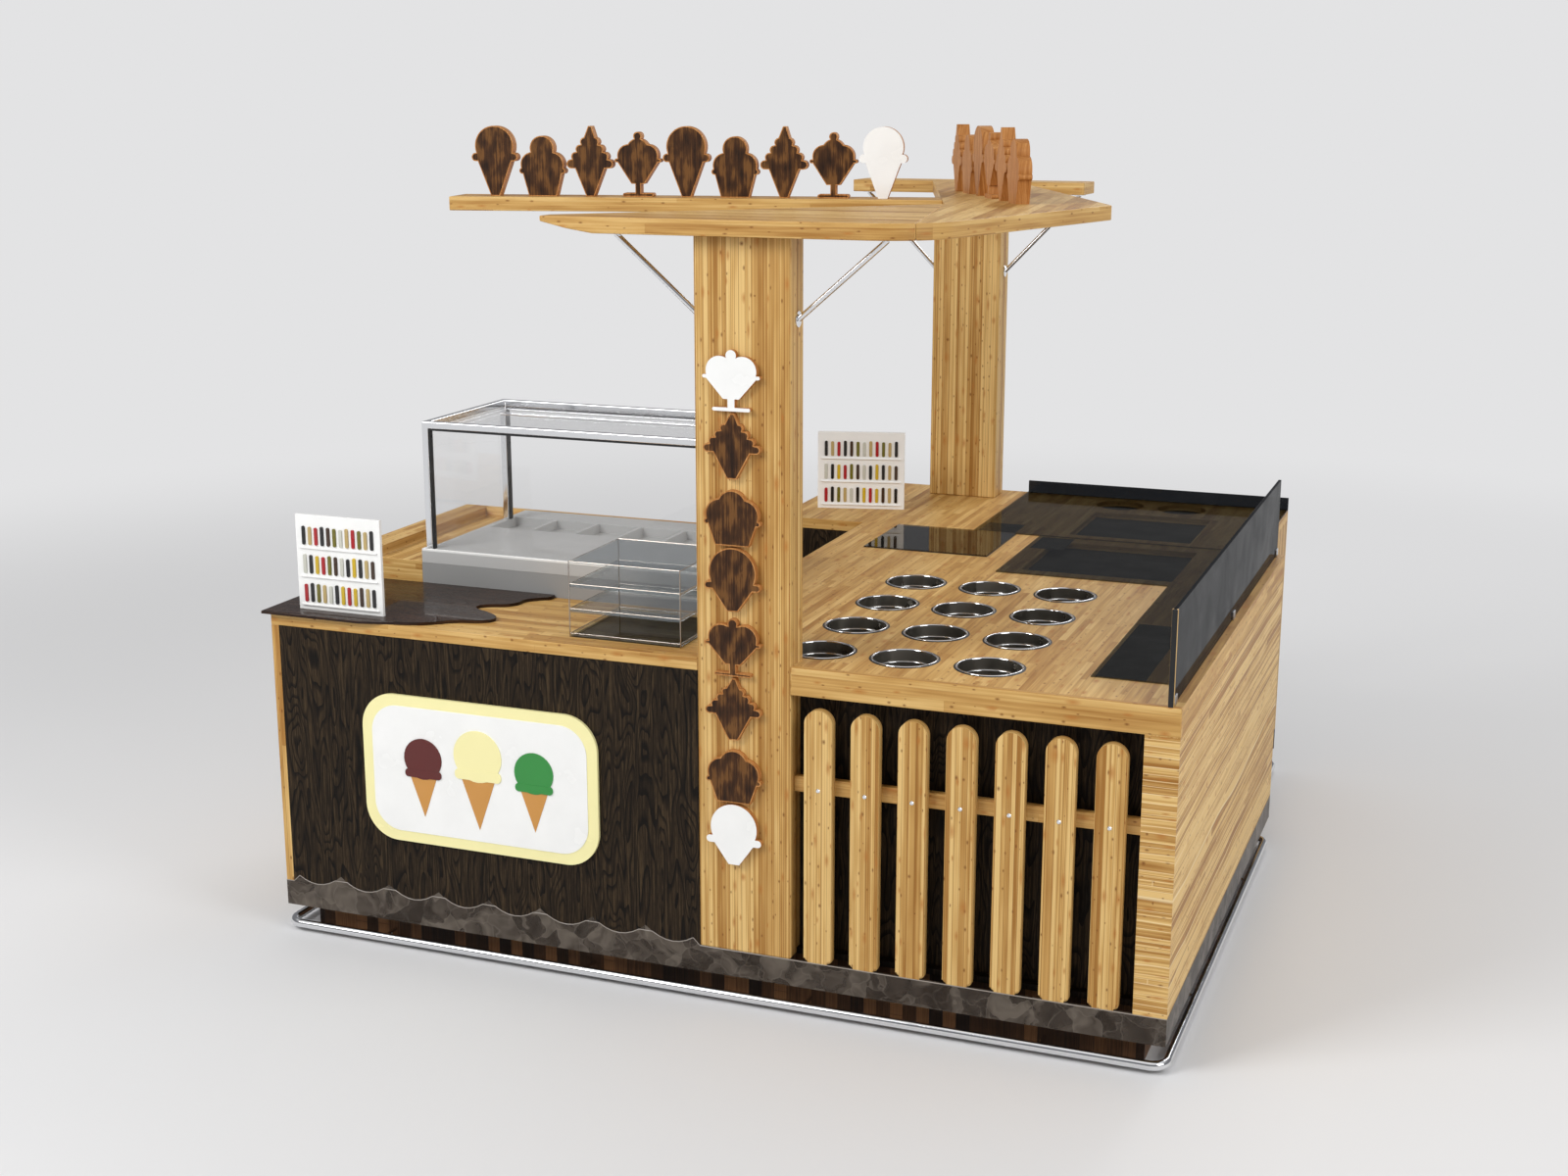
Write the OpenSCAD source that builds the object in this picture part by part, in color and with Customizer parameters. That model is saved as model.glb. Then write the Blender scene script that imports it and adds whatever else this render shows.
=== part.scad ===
// Ice cream kiosk: a bamboo and dark wood stand with three counters round a staff aisle,
// a picket-fence front, a glass display case, two columns and an open canopy with cut-out signs.
// Sizes are millimetres. The part stands on z = 0, with its origin under the middle of its box.
// Inside the modules x runs right from the front left corner and y runs back from the front.

/* [Plan] */
// Width of the left counter, up to the front column
left_w = 1440; // [1400:10:1480]
// Width of the picket fence bay
fence_w = 1000; // [940:10:1100]
// Depth of the left counter
left_d = 490; // [440:10:560]
// Depth of the display unit behind the left counter
display_d = 730; // [680:10:800]
// Depth of the right counter, front to back
right_d = 1950; // [1900:10:2100]
// Depth of the back counter
back_d = 810; // [780:10:900]
// How far the right counter reaches left past the front column
counter_reach = 170; // [140:10:210]
// How far the back counter reaches left past the right counter
back_reach = 340; // [280:10:400]

/* [Heights] */
// Height of the counter tops
counter_h = 1050; // [950:10:1150]
// Thickness of the left and back counter tops
top_t = 38; // [30:1:50]
// Thickness of the built-up right counter top
deck_t = 80; // [60:5:100]
// Height of the wood-block plinth
plinth_h = 168; // [140:2:200]
// How far the plinth stands back from the faces
plinth_recess = 70; // [50:5:90]
// Thickness of the cabinet floors
floor_t = 18; // [12:1:25]

/* [Panels] */
// Thickness of the dark wood panels
panel_t = 20; // [15:1:28]
// Thickness of the left end panel
end_t = 28; // [20:1:40]
// Thickness of the laminated right side wall
side_wall_t = 95; // [80:5:110]
// Number of scallops along the lower edge of the left front panel
scallops = 8; // [6:1:10]
// Height of the points between the scallops
scallop_h = 38; // [20:1:50]

/* [Acrylic skirt and floor rail] */
// Height of the acrylic skirt below the panels
skirt_h = 81; // [60:1:100]
// Thickness of the acrylic skirt
skirt_t = 12; // [8:1:15]
// Diameter of the chrome floor rail
rail_dia = 28; // [22:1:36]
// Height of the middle of the floor rail
rail_z = 26; // [20:1:50]
// Bend radius of the floor rail
rail_bend = 45; // [40:5:60]
// Diameter of the pins that hold the rail
rail_pin_dia = 12; // [8:1:16]

/* [Columns] */
// Width of the front column
column_w = 285; // [240:5:300]
// Depth of the front column
column_d = 100; // [80:5:105]
// Underside of the canopy
canopy_z = 2240; // [2200:10:2400]
// How far the rear column stands right of the aisle side
rear_column_shift = 65; // [40:5:90]
// Width of the rear column
rear_column_w = 270; // [240:5:290]
// Depth of the rear column
rear_column_d = 120; // [100:5:140]
// Counter left behind the rear column
rear_column_gap = 60; // [40:5:90]

/* [Canopy] */
// Thickness of the canopy boards
canopy_t = 45; // [35:1:60]
// Overhang of the canopy in front of the panels
wing_front = 50; // [30:5:80]
// How far the front wing reaches left past the front column
wing_reach = 440; // [400:10:480]
// Depth of the front wing at its left end
wing_tip_d = 60; // [40:5:120]
// Length of the taper below the left end of the front wing
wing_taper_l = 160; // [120:5:160]
// Thickness of the front wing at its left end
wing_tip_t = 15; // [10:1:25]
// Front corner between the wing and the side board, from the column
near_corner_reach = 670; // [640:10:720]
// Radius of the same corner
near_corner_r = 200; // [50:10:220]
// Inner corner between the wing and the side board, from the column
inner_corner_reach = 430; // [400:10:460]
// Depth of the same inner corner
inner_corner_y = 930; // [900:10:960]
// Right tip of the side board, from the column
tip_reach = 920; // [860:10:1000]
// Depth of the same tip
tip_y = 1050; // [1000:10:1150]
// Width of the side board where it meets the rear board
side_end_w = 340; // [300:10:400]
// Width of the sign bar
bar_w = 180; // [150:5:220]
// How far the sign bar reaches left past the front column
bar_reach = 1220; // [1150:10:1300]
// Depth of the left end of the sign bar
bar_y0 = 800; // [760:10:840]
// Turn of the sign bar
bar_turn = 12.5; // [8:0.5:16]
// How far the rear board reaches left past the rear column
rear_board_reach = 325; // [325:5:360]
// Length of the rear board
rear_board_l = 920; // [920:10:990]
// How far the rear board reaches in front of the rear column
rear_board_front = 25; // [15:5:60]
// Width of the rear board
rear_board_w = 170; // [160:5:220]

/* [Struts] */
// Diameter of the strut tubes
strut_dia = 16; // [12:1:22]
// How far the front struts reach sideways
strut_run = 255; // [220:5:280]
// How far down the front struts start
strut_drop = 222; // [180:5:260]
// How far the rear struts reach sideways
rear_strut_run = 290; // [240:5:295]
// How far down the rear struts start
rear_strut_drop = 300; // [240:5:340]
// Diameter of the round strut feet
strut_foot_dia = 44; // [36:2:60]
// Thickness of the round strut feet
strut_foot_t = 5; // [3:1:8]

/* [Picket fence] */
// Number of pickets
picket_n = 7; // [5:1:8]
// Width of a picket
picket_w = 84; // [70:1:95]
// Thickness of a picket
picket_t = 27; // [18:1:32]
// Dark panel left free beside the end pickets
picket_margin = 41; // [30:1:60]
// Distance from the counter down to the round picket tops
picket_drop = 38; // [25:1:60]
// Distance from the picket tops down to the middle of the fence rail
fence_rail_drop = 233; // [200:1:280]
// Height of the fence rail
fence_rail_h = 47; // [35:1:60]
// Thickness of the fence rail
fence_rail_t = 25; // [18:1:35]
// How far the panel behind the fence stands back
fence_recess = 80; // [60:5:100]

/* [Topping wells] */
// Number of wells in a row
well_cols = 3; // [2:1:3]
// Diameter of the well bores
well_dia = 188; // [150:2:200]
// Distance between wells across
well_pitch_x = 250; // [235:5:260]
// Distance between wells in depth
well_pitch_y = 300; // [260:5:305]
// Start of the well field from the left face of the front column
well_field_x = 180; // [170:5:195]
// Gap between the well field and what stands in front of it
well_field_gap = 2; // [1:1:12]
// Wall between the first wells and the ends of the field
well_wall = 8; // [6:1:14]
// Depth of the wells
well_depth = 180; // [120:5:220]
// Thickness of the insulated blocks below the wells
well_floor_t = 20; // [12:1:30]
// Wall of the steel well cups
cup_t = 2; // [1:0.5:4]
// Width of the cup rims on the counter
cup_rim = 8; // [4:1:12]
// Thickness of the cup rims
cup_rim_t = 4; // [2:1:6]

/* [Glass tops and guards] */
// Thickness of the dark glass tops
glass_t = 5; // [4:1:8]
// How far the side glass lies over the side wall
side_glass_over = 30; // [20:1:35]
// Width of the narrow part of the side glass
side_glass_w = 225; // [180:5:240]
// Front edge of the side glass
side_glass_y0 = 210; // [180:10:240]
// Width of the wide part of the side glass
wide_glass_w = 805; // [760:5:840]
// Depth of the wide part of the side glass
wide_glass_d = 610; // [560:10:660]
// Free counter left of the cooking plate
hob_gap = 140; // [110:5:160]
// Width of the cooking plate
hob_w = 450; // [400:10:480]
// Depth of the cooking plate
hob_d = 400; // [360:5:440]
// Height of the side guard
guard_h = 265; // [220:5:320]
// Thickness of the guards
guard_t = 10; // [8:1:14]
// Inset of the side guard from the right face
guard_inset = 25; // [15:1:35]
// Height of the low back guard
back_guard_h = 48; // [30:2:80]
// Width of the back glass
back_glass_w = 1025; // [960:5:1080]
// Depth of the pockets below the glass
pocket_depth = 22; // [12:1:28]
// Side of the square pocket in the back counter
pocket_w = 440; // [380:5:460]
// Left edge of that pocket from the left edge of the glass
pocket_x = 340; // [300:5:370]
// Free counter in front of that pocket
pocket_gap = 70; // [50:5:100]
// Free counter round the pocket in the right counter
side_pocket_margin = 70; // [50:5:90]
// Diameter of the round pockets in the back counter
round_pocket_dia = 184; // [150:2:200]
// First round pocket from the left edge of the glass
round_pocket_x = 400; // [360:5:430]
// Distance between the round pockets
round_pocket_pitch = 240; // [225:5:260]
// Distance from the back face to the middle of the round pockets
round_pocket_back = 140; // [130:5:150]

/* [Display case] */
// How far the bamboo wall round the display unit rises above the counter
display_rise = 115; // [90:5:150]
// Thickness of that wall at the left
display_wall_t = 90; // [70:5:110]
// How far the shelf beside the case lies below the top of that wall
shelf_drop = 35; // [25:1:60]
// Left face of the display case
case_x0 = 250; // [220:10:300]
// Steel left free in front of the display case
case_setback = 30; // [10:5:60]
// Depth of the display case
case_d = 540; // [480:10:580]
// Height of the display case above its tray
case_h = 420; // [360:10:480]
// Side of the chrome frame tubes
case_tube = 23; // [14:1:28]
// Thickness of the clear panes
pane_t = 6; // [4:1:8]
// Thickness of the steel tray
tray_t = 40; // [36:1:60]
// Depth of the pans in the tray
pan_depth = 32; // [20:1:34]
// Number of pans
pan_n = 6; // [4:1:7]
// Depth of a pan, front to back
pan_d = 180; // [150:5:200]
// Tray left free beside the first and the last pan
pan_margin = 25; // [20:1:40]
// Web between two pans
pan_web = 14; // [8:1:24]
// How far the pans reach behind the case
pan_overhang = 20; // [0:5:40]

/* [On the counters] */
// Thickness of the dark drip overlay
overlay_t = 10; // [6:1:14]
// Overhang of the overlay past the left counter edges
overlay_lip = 20; // [10:1:30]
// Width of the left flavour board
board_w = 300; // [260:10:340]
// Height of the left flavour board
board_h = 300; // [260:10:340]
// Thickness of the flavour boards
board_t = 12; // [8:1:18]
// Depth of the board feet
board_foot_d = 70; // [50:5:90]
// Inset of the feet from the sides of the boards
board_foot_inset = 70; // [50:5:90]
// Left edge of the left board
board_x = 78; // [40:1:120]
// Front face of the left board
board_y = 45; // [20:1:100]
// Width of the right flavour board
right_board_w = 335; // [300:5:360]
// Turn of the right flavour board
right_board_turn = 14; // [0:1:30]
// Left edge of the right board from the end of the back counter
right_board_x = 85; // [60:5:120]
// Front face of the right board from the front of the back counter
right_board_y = 200; // [120:5:240]
// Width of the clear organizer
organizer_w = 365; // [320:5:400]
// Depth of the clear organizer
organizer_d = 345; // [300:5:370]
// Height of the clear organizer
organizer_h = 230; // [180:5:280]
// Number of organizer shelves above its base
organizer_tiers = 3; // [2:1:4]
// Side of the organizer posts
organizer_post = 8; // [6:1:12]
// Thickness of the organizer shelves
organizer_shelf_t = 5; // [3:1:8]
// Free counter between the organizer and the front column
organizer_gap = 80; // [40:5:120]
// Free counter in front of the organizer
organizer_y = 70; // [40:5:100]

/* [Signs] */
// Height of the cut-outs on the canopy
sign_h = 225; // [180:5:250]
// Thickness of the cut-outs on the canopy
sign_t = 42; // [30:1:50]
// Number of cut-outs on the sign bar
sign_n = 9; // [6:1:9]
// Length of the row on the sign bar
sign_row_l = 1440; // [1300:10:1500]
// Start of that row from the end of the bar
sign_row_x = 60; // [30:5:90]
// Start of that row from the front edge of the bar
sign_row_y = 63; // [40:1:100]
// Number of cut-outs on the side board
side_sign_n = 6; // [4:1:6]
// Length of the row on the side board
side_sign_l = 984; // [900:4:1040]
// Start of that row right of the inner corner
side_sign_x = 260; // [220:5:300]
// Start of that row behind the inner corner
side_sign_y = 55; // [30:5:90]
// Turn of that row
side_sign_turn = 118.5; // [112:0.5:122]
// Thickness of the raised shapes on the column
relief_t = 18; // [10:1:22]
// Width of the raised shapes on the column
relief_w = 170; // [140:5:180]
// Number of raised shapes on the column
relief_n = 8; // [6:1:8]
// Lowest point of the raised shapes
relief_z0 = 445; // [400:5:500]
// Height of the whole stack of raised shapes
relief_h = 1510; // [1400:10:1600]
// Middle of the raised shapes from the left face of the column
relief_x = 117; // [105:1:130]
// Gap between neighbouring shapes
sign_gap = 6; // [3:1:12]
// Width of the front plaque
plaque_w = 800; // [600:10:900]
// Height of the front plaque
plaque_h = 470; // [350:10:500]
// Thickness of the front plaque
plaque_t = 12; // [8:1:16]
// Corner radius of the front plaque
plaque_r = 110; // [60:5:160]
// Distance from the counter top down to the middle of the plaque
plaque_drop = 450; // [400:5:480]

/* [Hidden] */
$fn = 48;
column_x = left_w;
column_x1 = column_x + column_w;
side_wall_x = column_x1 + fence_w;
kiosk_w = side_wall_x + side_wall_t;
aisle_x = column_x - counter_reach;
back_x0 = aisle_x - back_reach;
display_y1 = left_d + display_d;
back_y1 = right_d + back_d;
deck_z = counter_h - deck_t;
top_z = counter_h - top_t;
panel_z0 = plinth_h + floor_t;
rail_r = rail_dia / 2;
// the rear column and the canopy
rear_column_x = aisle_x + rear_column_shift;
rear_column_x1 = rear_column_x + rear_column_w;
rear_column_y1 = back_y1 - rear_column_gap;
rear_column_y = rear_column_y1 - rear_column_d;
canopy_top = canopy_z + canopy_t;
rear_board_x0 = rear_column_x - rear_board_reach;
rear_board_y0 = rear_column_y - rear_board_front;
canopy_back = rear_board_y0 + rear_board_w;
wing_x0 = column_x - wing_reach;
wing_tip = [wing_x0, -wing_front];
near_corner = [column_x + near_corner_reach, -wing_front];
inner_corner = [column_x + inner_corner_reach, inner_corner_y];
side_tip = [column_x + tip_reach, tip_y];
corner_steps = 16;
near_arc = corner_arc(wing_tip, near_corner, side_tip, near_corner_r, corner_steps);
side_inner_end = [rear_column_x, rear_board_y0];
side_outer_end = side_inner_end + [side_end_w, 0];
bar_dir = [cos(bar_turn), sin(bar_turn)];
bar_side = [-sin(bar_turn), cos(bar_turn)];
bar_front = [column_x - bar_reach, bar_y0];
bar_back = bar_front + bar_w * bar_side;
// the box of the whole part, which the origin is centred under
x_min = -overlay_lip;
x_max = kiosk_w + rail_r;
y_min = -wing_front;
y_max = max(canopy_back, back_y1 + rail_r);
// the well field, two blocks deep
well_rows_per_block = 2;
block_x0 = column_x + well_field_x;
block_x1 = block_x0 + well_cols * well_pitch_x;
well_end = well_wall + well_dia / 2;
block_d = well_end + (well_rows_per_block - 0.5) * well_pitch_y;
block_y0 = max(column_d, fence_recess + panel_t) + well_field_gap;
block_y1 = block_y0 + 2 * block_d;
well_x0 = block_x0 + well_pitch_x / 2;
well_y0 = block_y0 + well_end;
// the dark glass
glass_x1 = side_wall_x + side_glass_over;
wide_glass_x0 = glass_x1 - wide_glass_w;
wide_glass_y0 = right_d - wide_glass_d;
back_glass_x0 = side_wall_x - back_glass_w;
hob_x0 = aisle_x + hob_gap;
// the display unit
display_wall_z = counter_h + display_rise;
case_y0 = left_d + case_setback;
case_y1 = case_y0 + case_d;
case_z1 = display_wall_z + case_h;
// the fence
picket_top = deck_z - picket_drop;
fence_rail_z = picket_top - fence_rail_drop;
picket_pitch = (fence_w - 2 * picket_margin - picket_w) / (picket_n - 1);
touch_gap = 2;
over_cut = 1;
pin_clearance = 0.2;
front_pins = 4;
side_pins = 2;
colour_bamboo = "burlywood";
colour_wenge = [0.2, 0.14, 0.1];
colour_block = [0.16, 0.1, 0.07];
colour_steel = [0.75, 0.76, 0.78];
colour_chrome = [0.85, 0.86, 0.88];
colour_acrylic = [0.5, 0.5, 0.5, 0.6];
colour_dark_glass = [0.08, 0.08, 0.08, 0.9];
colour_clear = [0.8, 0.85, 0.9, 0.4];
colour_walnut = [0.3, 0.17, 0.09];
colour_white = "white";

// Moves a piece from the plan, where x and y start at the front left corner, to the part's frame.
module placed() {
    translate([-(x_min + x_max) / 2, -(y_min + y_max) / 2, 0]) children();
}

// A box between two corners of the plan.
module block(from, to) {
    translate(from) cube(to - from);
}

// The point where the line from a along u meets the line from b along v.
function meet(a, u, b, v) =
    a + u * ((b[0] - a[0]) * v[1] - (b[1] - a[1]) * v[0]) / (u[0] * v[1] - u[1] * v[0]);

// The points of an arc of radius r that rounds the corner at p between a and b.
function corner_arc(a, p, b, r, n) =
    let (u = (a - p) / norm(a - p), v = (b - p) / norm(b - p),
         centre = p + (u + v) / norm(u + v) * r / sin(acos(u * v) / 2),
         start = p + u * r / tan(acos(u * v) / 2) - centre, turn = 180 - acos(u * v))
    [for (i = [0 : n]) let (angle = atan2(start[1], start[0]) + turn * i / n)
        centre + r * [cos(angle), sin(angle)]];

// Height of the scalloped edge at x, as a share of one scallop.
function scallop(t) = scallop_h * pow(2 * (t - floor(t)) - 1, 2);

scallop_w = (column_x - end_t) / scallops;
scallop_steps = 8;
scallop_line = [for (i = [0 : scallops * scallop_steps])
    [end_t + i * scallop_w / scallop_steps,
     plinth_h + (i == 0 || i == scallops * scallop_steps ? 0 : scallop(i / scallop_steps))]];

// An upright board cut from an outline in x and z, from y to y + t.
module upright(y, t) {
    translate([0, y + t, 0]) rotate([90, 0, 0]) linear_extrude(t) children();
}

module plinth_left() placed() color(colour_block)
    block([plinth_recess, plinth_recess, 0], [aisle_x, display_y1 - plinth_recess, plinth_h]);

module plinth_right() placed() color(colour_block)
    block([aisle_x, plinth_recess, 0], [kiosk_w - plinth_recess, right_d, plinth_h]);

module plinth_back() placed() color(colour_block)
    block([back_x0 + plinth_recess, right_d, 0],
          [side_wall_x - plinth_recess, back_y1 - plinth_recess, plinth_h]);

module cabinet_floors() placed() color(colour_wenge) union() {
    block([end_t, panel_t, plinth_h], [aisle_x, left_d, panel_z0]);
    block([display_wall_t, left_d, plinth_h], [aisle_x, display_y1 - panel_t, panel_z0]);
    block([aisle_x, column_d, plinth_h], [column_x1, right_d, panel_z0]);
    block([aisle_x, panel_t, plinth_h], [column_x, column_d, panel_z0]);
    block([column_x1, picket_t + fence_rail_t, plinth_h], [side_wall_x, right_d, panel_z0]);
    block([back_x0 + panel_t, right_d + panel_t, plinth_h],
          [side_wall_x - panel_t, back_y1 - panel_t, panel_z0]);
    block([aisle_x, right_d, plinth_h], [side_wall_x - panel_t, right_d + panel_t, panel_z0]);
}

module ice_skirt_front() placed() color(colour_acrylic) union() {
    upright(0, skirt_t) polygon(concat(
        [[0, plinth_h - skirt_h], [column_x, plinth_h - skirt_h]],
        [for (i = [scallops * scallop_steps : -1 : 0]) scallop_line[i]],
        [[0, plinth_h]]));
    block([column_x, 0, plinth_h - skirt_h], [kiosk_w, skirt_t, plinth_h]);
}

module ice_skirt_sides() placed() color(colour_acrylic) union() {
    block([0, skirt_t, plinth_h - skirt_h], [skirt_t, display_y1, plinth_h]);
    block([kiosk_w - skirt_t, skirt_t, plinth_h - skirt_h], [kiosk_w, right_d, plinth_h]);
    block([back_x0, back_y1 - skirt_t, plinth_h - skirt_h], [side_wall_x, back_y1, plinth_h]);
}

// One straight stretch of tube between two points of the plan at the rail's height.
module rail_straight(a, b) {
    d = b - a;
    translate([a[0], a[1], rail_z]) rotate([0, 0, atan2(d[1], d[0])]) rotate([0, 90, 0])
        cylinder(h = norm(d), d = rail_dia);
}

// A quarter bend round a centre, from one angle to that angle plus 90 degrees.
module rail_corner(centre, from_angle) {
    translate([centre[0], centre[1], rail_z]) rotate([0, 0, from_angle])
        rotate_extrude(angle = 90) translate([rail_bend, 0]) circle(d = rail_dia);
}

// A pin from just clear of the rail to the plinth, at a point of the rail's middle line.
module rail_pin(at, turn) {
    translate([at[0], at[1], rail_z]) rotate([0, 0, turn]) rotate([0, 90, 0])
        translate([0, 0, rail_r + pin_clearance])
            cylinder(h = plinth_recess - rail_r - pin_clearance, d = rail_pin_dia);
}

rail_left_end = display_y1 - plinth_recess;

module floor_rail() placed() color(colour_chrome) {
    b = rail_bend;
    left_end = rail_left_end;
    right_end = right_d - plinth_recess;
    back_start = right_d + plinth_recess;
    pin = plinth_recess;
    union() {
        rail_straight([pin, left_end], [b, left_end]);
        rail_corner([b, left_end - b], 90);
        rail_straight([0, left_end - b], [0, b]);
        rail_corner([b, b], 180);
        rail_straight([b, 0], [kiosk_w - b, 0]);
        rail_corner([kiosk_w - b, b], 270);
        rail_straight([kiosk_w, b], [kiosk_w, right_end - b]);
        rail_corner([kiosk_w - b, right_end - b], 0);
        rail_straight([kiosk_w - b, right_end], [kiosk_w - pin, right_end]);
    }
    union() {
        rail_straight([side_wall_x - pin, back_start], [side_wall_x - b, back_start]);
        rail_corner([side_wall_x - b, back_start + b], 270);
        rail_straight([side_wall_x, back_start + b], [side_wall_x, back_y1 - b]);
        rail_corner([side_wall_x - b, back_y1 - b], 0);
        rail_straight([side_wall_x - b, back_y1], [back_x0 + b, back_y1]);
        rail_corner([back_x0 + b, back_y1 - b], 90);
        rail_straight([back_x0, back_y1 - b], [back_x0, back_start + b]);
        rail_corner([back_x0 + b, back_start + b], 180);
        rail_straight([back_x0 + b, back_start], [back_x0 + pin, back_start]);
    }
}

// Pins evenly spread between two points of the plan, each pointing at the plinth.
module pin_row(a, b, n, turn)
    for (i = [0 : n - 1]) rail_pin(a + (i + 0.5) / n * (b - a), turn);

module rail_pins() placed() color(colour_chrome) {
    pin_row([0, 0], [kiosk_w, 0], front_pins, 90);
    pin_row([0, 0], [0, rail_left_end], side_pins, 0);
    pin_row([kiosk_w, 0], [kiosk_w, right_d], side_pins, 180);
    pin_row([back_x0, back_y1], [side_wall_x, back_y1], side_pins, 270);
}

module left_end_panel() placed() color(colour_bamboo)
    block([0, 0, plinth_h], [end_t, left_d, top_z]);

module left_front_panel() placed() color(colour_wenge)
    upright(0, panel_t) polygon(concat(
        scallop_line, [[column_x, top_z], [end_t, top_z]]));

module left_counter_top() placed() color(colour_bamboo)
    block([0, 0, top_z], [column_x, left_d, counter_h]);

module display_side_wall() placed() color(colour_bamboo) union() {
    block([0, left_d, plinth_h], [display_wall_t, display_y1, display_wall_z]);
    block([display_wall_t, left_d, counter_h],
          [case_x0, display_y1 - panel_t, display_wall_z - shelf_drop]);
}

module display_back_wall() placed() color(colour_bamboo)
    block([display_wall_t, display_y1 - panel_t, plinth_h], [aisle_x, display_y1, display_wall_z]);

module display_cabinet() placed() color(colour_steel) union() {
    block([display_wall_t, left_d, panel_z0], [aisle_x, display_y1 - panel_t, counter_h]);
    block([case_x0, left_d, counter_h],
          [aisle_x, display_y1 - panel_t, display_wall_z - tray_t]);
}

module display_tray() placed() color(colour_steel) difference() {
    pan_x0 = case_x0 + pan_margin;
    pan_pitch = (aisle_x - pan_margin - pan_x0 + pan_web) / pan_n;
    pan_y1 = case_y1 + pan_overhang;
    block([case_x0, left_d, display_wall_z - tray_t],
          [aisle_x, display_y1 - panel_t, display_wall_z]);
    for (i = [0 : pan_n - 1])
        block([pan_x0 + i * pan_pitch, pan_y1 - pan_d, display_wall_z - pan_depth],
              [pan_x0 + (i + 1) * pan_pitch - pan_web, pan_y1, display_wall_z + over_cut]);
}

module display_frame() placed() color(colour_chrome) {
    x1 = aisle_x;
    y1 = case_y1;
    z0 = display_wall_z;
    z1 = case_z1;
    t = case_tube;
    union() {
        for (x = [case_x0, x1 - t], y = [case_y0, y1 - t])
            block([x, y, z0], [x + t, y + t, z1]);
        for (y = [case_y0, y1 - t]) block([case_x0, y, z1 - t], [x1, y + t, z1]);
        for (x = [case_x0, x1 - t]) block([x, case_y0, z1 - t], [x + t, y1, z1]);
    }
}

module display_glass() placed() color(colour_clear) {
    x1 = aisle_x;
    y1 = case_y1;
    z0 = display_wall_z;
    z1 = case_z1 - case_tube;
    t = case_tube;
    inset = (t - pane_t) / 2;
    union() {
        block([case_x0 + t, case_y0 + inset, z0], [x1 - t, case_y0 + inset + pane_t, z1]);
        for (x = [case_x0 + inset, x1 - inset - pane_t])
            block([x, case_y0 + t, z0], [x + pane_t, y1 - t, z1]);
        block([case_x0 + t, case_y0 + t, z1], [x1 - t, y1 - t, z1 + pane_t]);
    }
}

module right_side_wall() placed() color(colour_bamboo)
    block([side_wall_x, 0, plinth_h], [kiosk_w, right_d, deck_z]);

module fence_back_panel() placed() color(colour_wenge)
    block([column_x1, fence_recess, panel_z0], [side_wall_x, fence_recess + panel_t, deck_z]);

module fence_rail() placed() color(colour_bamboo)
    block([column_x1, picket_t, fence_rail_z - fence_rail_h / 2],
          [side_wall_x, picket_t + fence_rail_t, fence_rail_z + fence_rail_h / 2]);

module fence_pickets() placed() color(colour_bamboo) {
    for (i = [0 : picket_n - 1]) {
        x = column_x1 + picket_margin + picket_w / 2 + i * picket_pitch;
        upright(0, picket_t) union() {
            translate([x - picket_w / 2, plinth_h + touch_gap])
                square([picket_w, picket_top - picket_w / 2 - plinth_h - touch_gap]);
            translate([x, picket_top - picket_w / 2]) circle(d = picket_w);
        }
    }
}

module aisle_panel() placed() color(colour_wenge)
    block([aisle_x, left_d, panel_z0], [aisle_x + panel_t, right_d, deck_z]);

module counter_front_edge() placed() color(colour_bamboo)
    translate([0, 0, deck_z]) linear_extrude(deck_t) polygon([
        [column_x1, 0], [kiosk_w, 0], [kiosk_w, block_y0],
        [column_x, block_y0], [column_x, column_d], [column_x1, column_d]]);

module counter_left_part() placed() color(colour_bamboo)
    translate([0, 0, deck_z]) linear_extrude(deck_t) polygon([
        [column_x, block_y0], [block_x0, block_y0], [block_x0, block_y1],
        [aisle_x, block_y1], [aisle_x, left_d], [column_x, left_d]]);

module counter_right_part() placed() color(colour_bamboo)
    block([block_x1, block_y0, deck_z], [kiosk_w, block_y1, counter_h]);

module counter_rear_part() placed() color(colour_bamboo) difference() {
    block([aisle_x, block_y1, deck_z], [kiosk_w, right_d, counter_h]);
    block([wide_glass_x0 + side_pocket_margin, wide_glass_y0 + side_pocket_margin,
           counter_h - pocket_depth],
          [glass_x1 - side_glass_w, right_d - side_pocket_margin, counter_h + over_cut]);
}

// One block from y0 with two rows of blind well bores, the first of them the given row.
module well_block(y0, first_row) {
    difference() {
        block([block_x0, y0, counter_h - well_depth - well_floor_t],
              [block_x1, y0 + block_d, counter_h]);
        for (i = [0 : well_cols - 1], j = [0 : well_rows_per_block - 1])
            translate([well_x0 + i * well_pitch_x, well_y0 + (first_row + j) * well_pitch_y,
                       counter_h - well_depth])
                cylinder(h = well_depth + over_cut, d = well_dia);
    }
}

module well_block_front() placed() color(colour_bamboo) well_block(block_y0, 0);

module well_block_rear() placed() color(colour_bamboo)
    well_block(block_y0 + block_d, well_rows_per_block);

// A thin steel cup that lines one well, with its rim on the counter.
module well_cup() {
    difference() {
        union() {
            translate([0, 0, -well_depth]) cylinder(h = well_depth, d = well_dia);
            cylinder(h = cup_rim_t, d = well_dia + 2 * cup_rim);
        }
        translate([0, 0, cup_t - well_depth])
            cylinder(h = well_depth + cup_rim_t, d = well_dia - 2 * cup_t);
    }
}

module topping_cups() placed() color(colour_steel)
    for (i = [0 : well_cols - 1], j = [0 : 2 * well_rows_per_block - 1])
        translate([well_x0 + i * well_pitch_x, well_y0 + j * well_pitch_y, counter_h]) well_cup();

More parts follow.
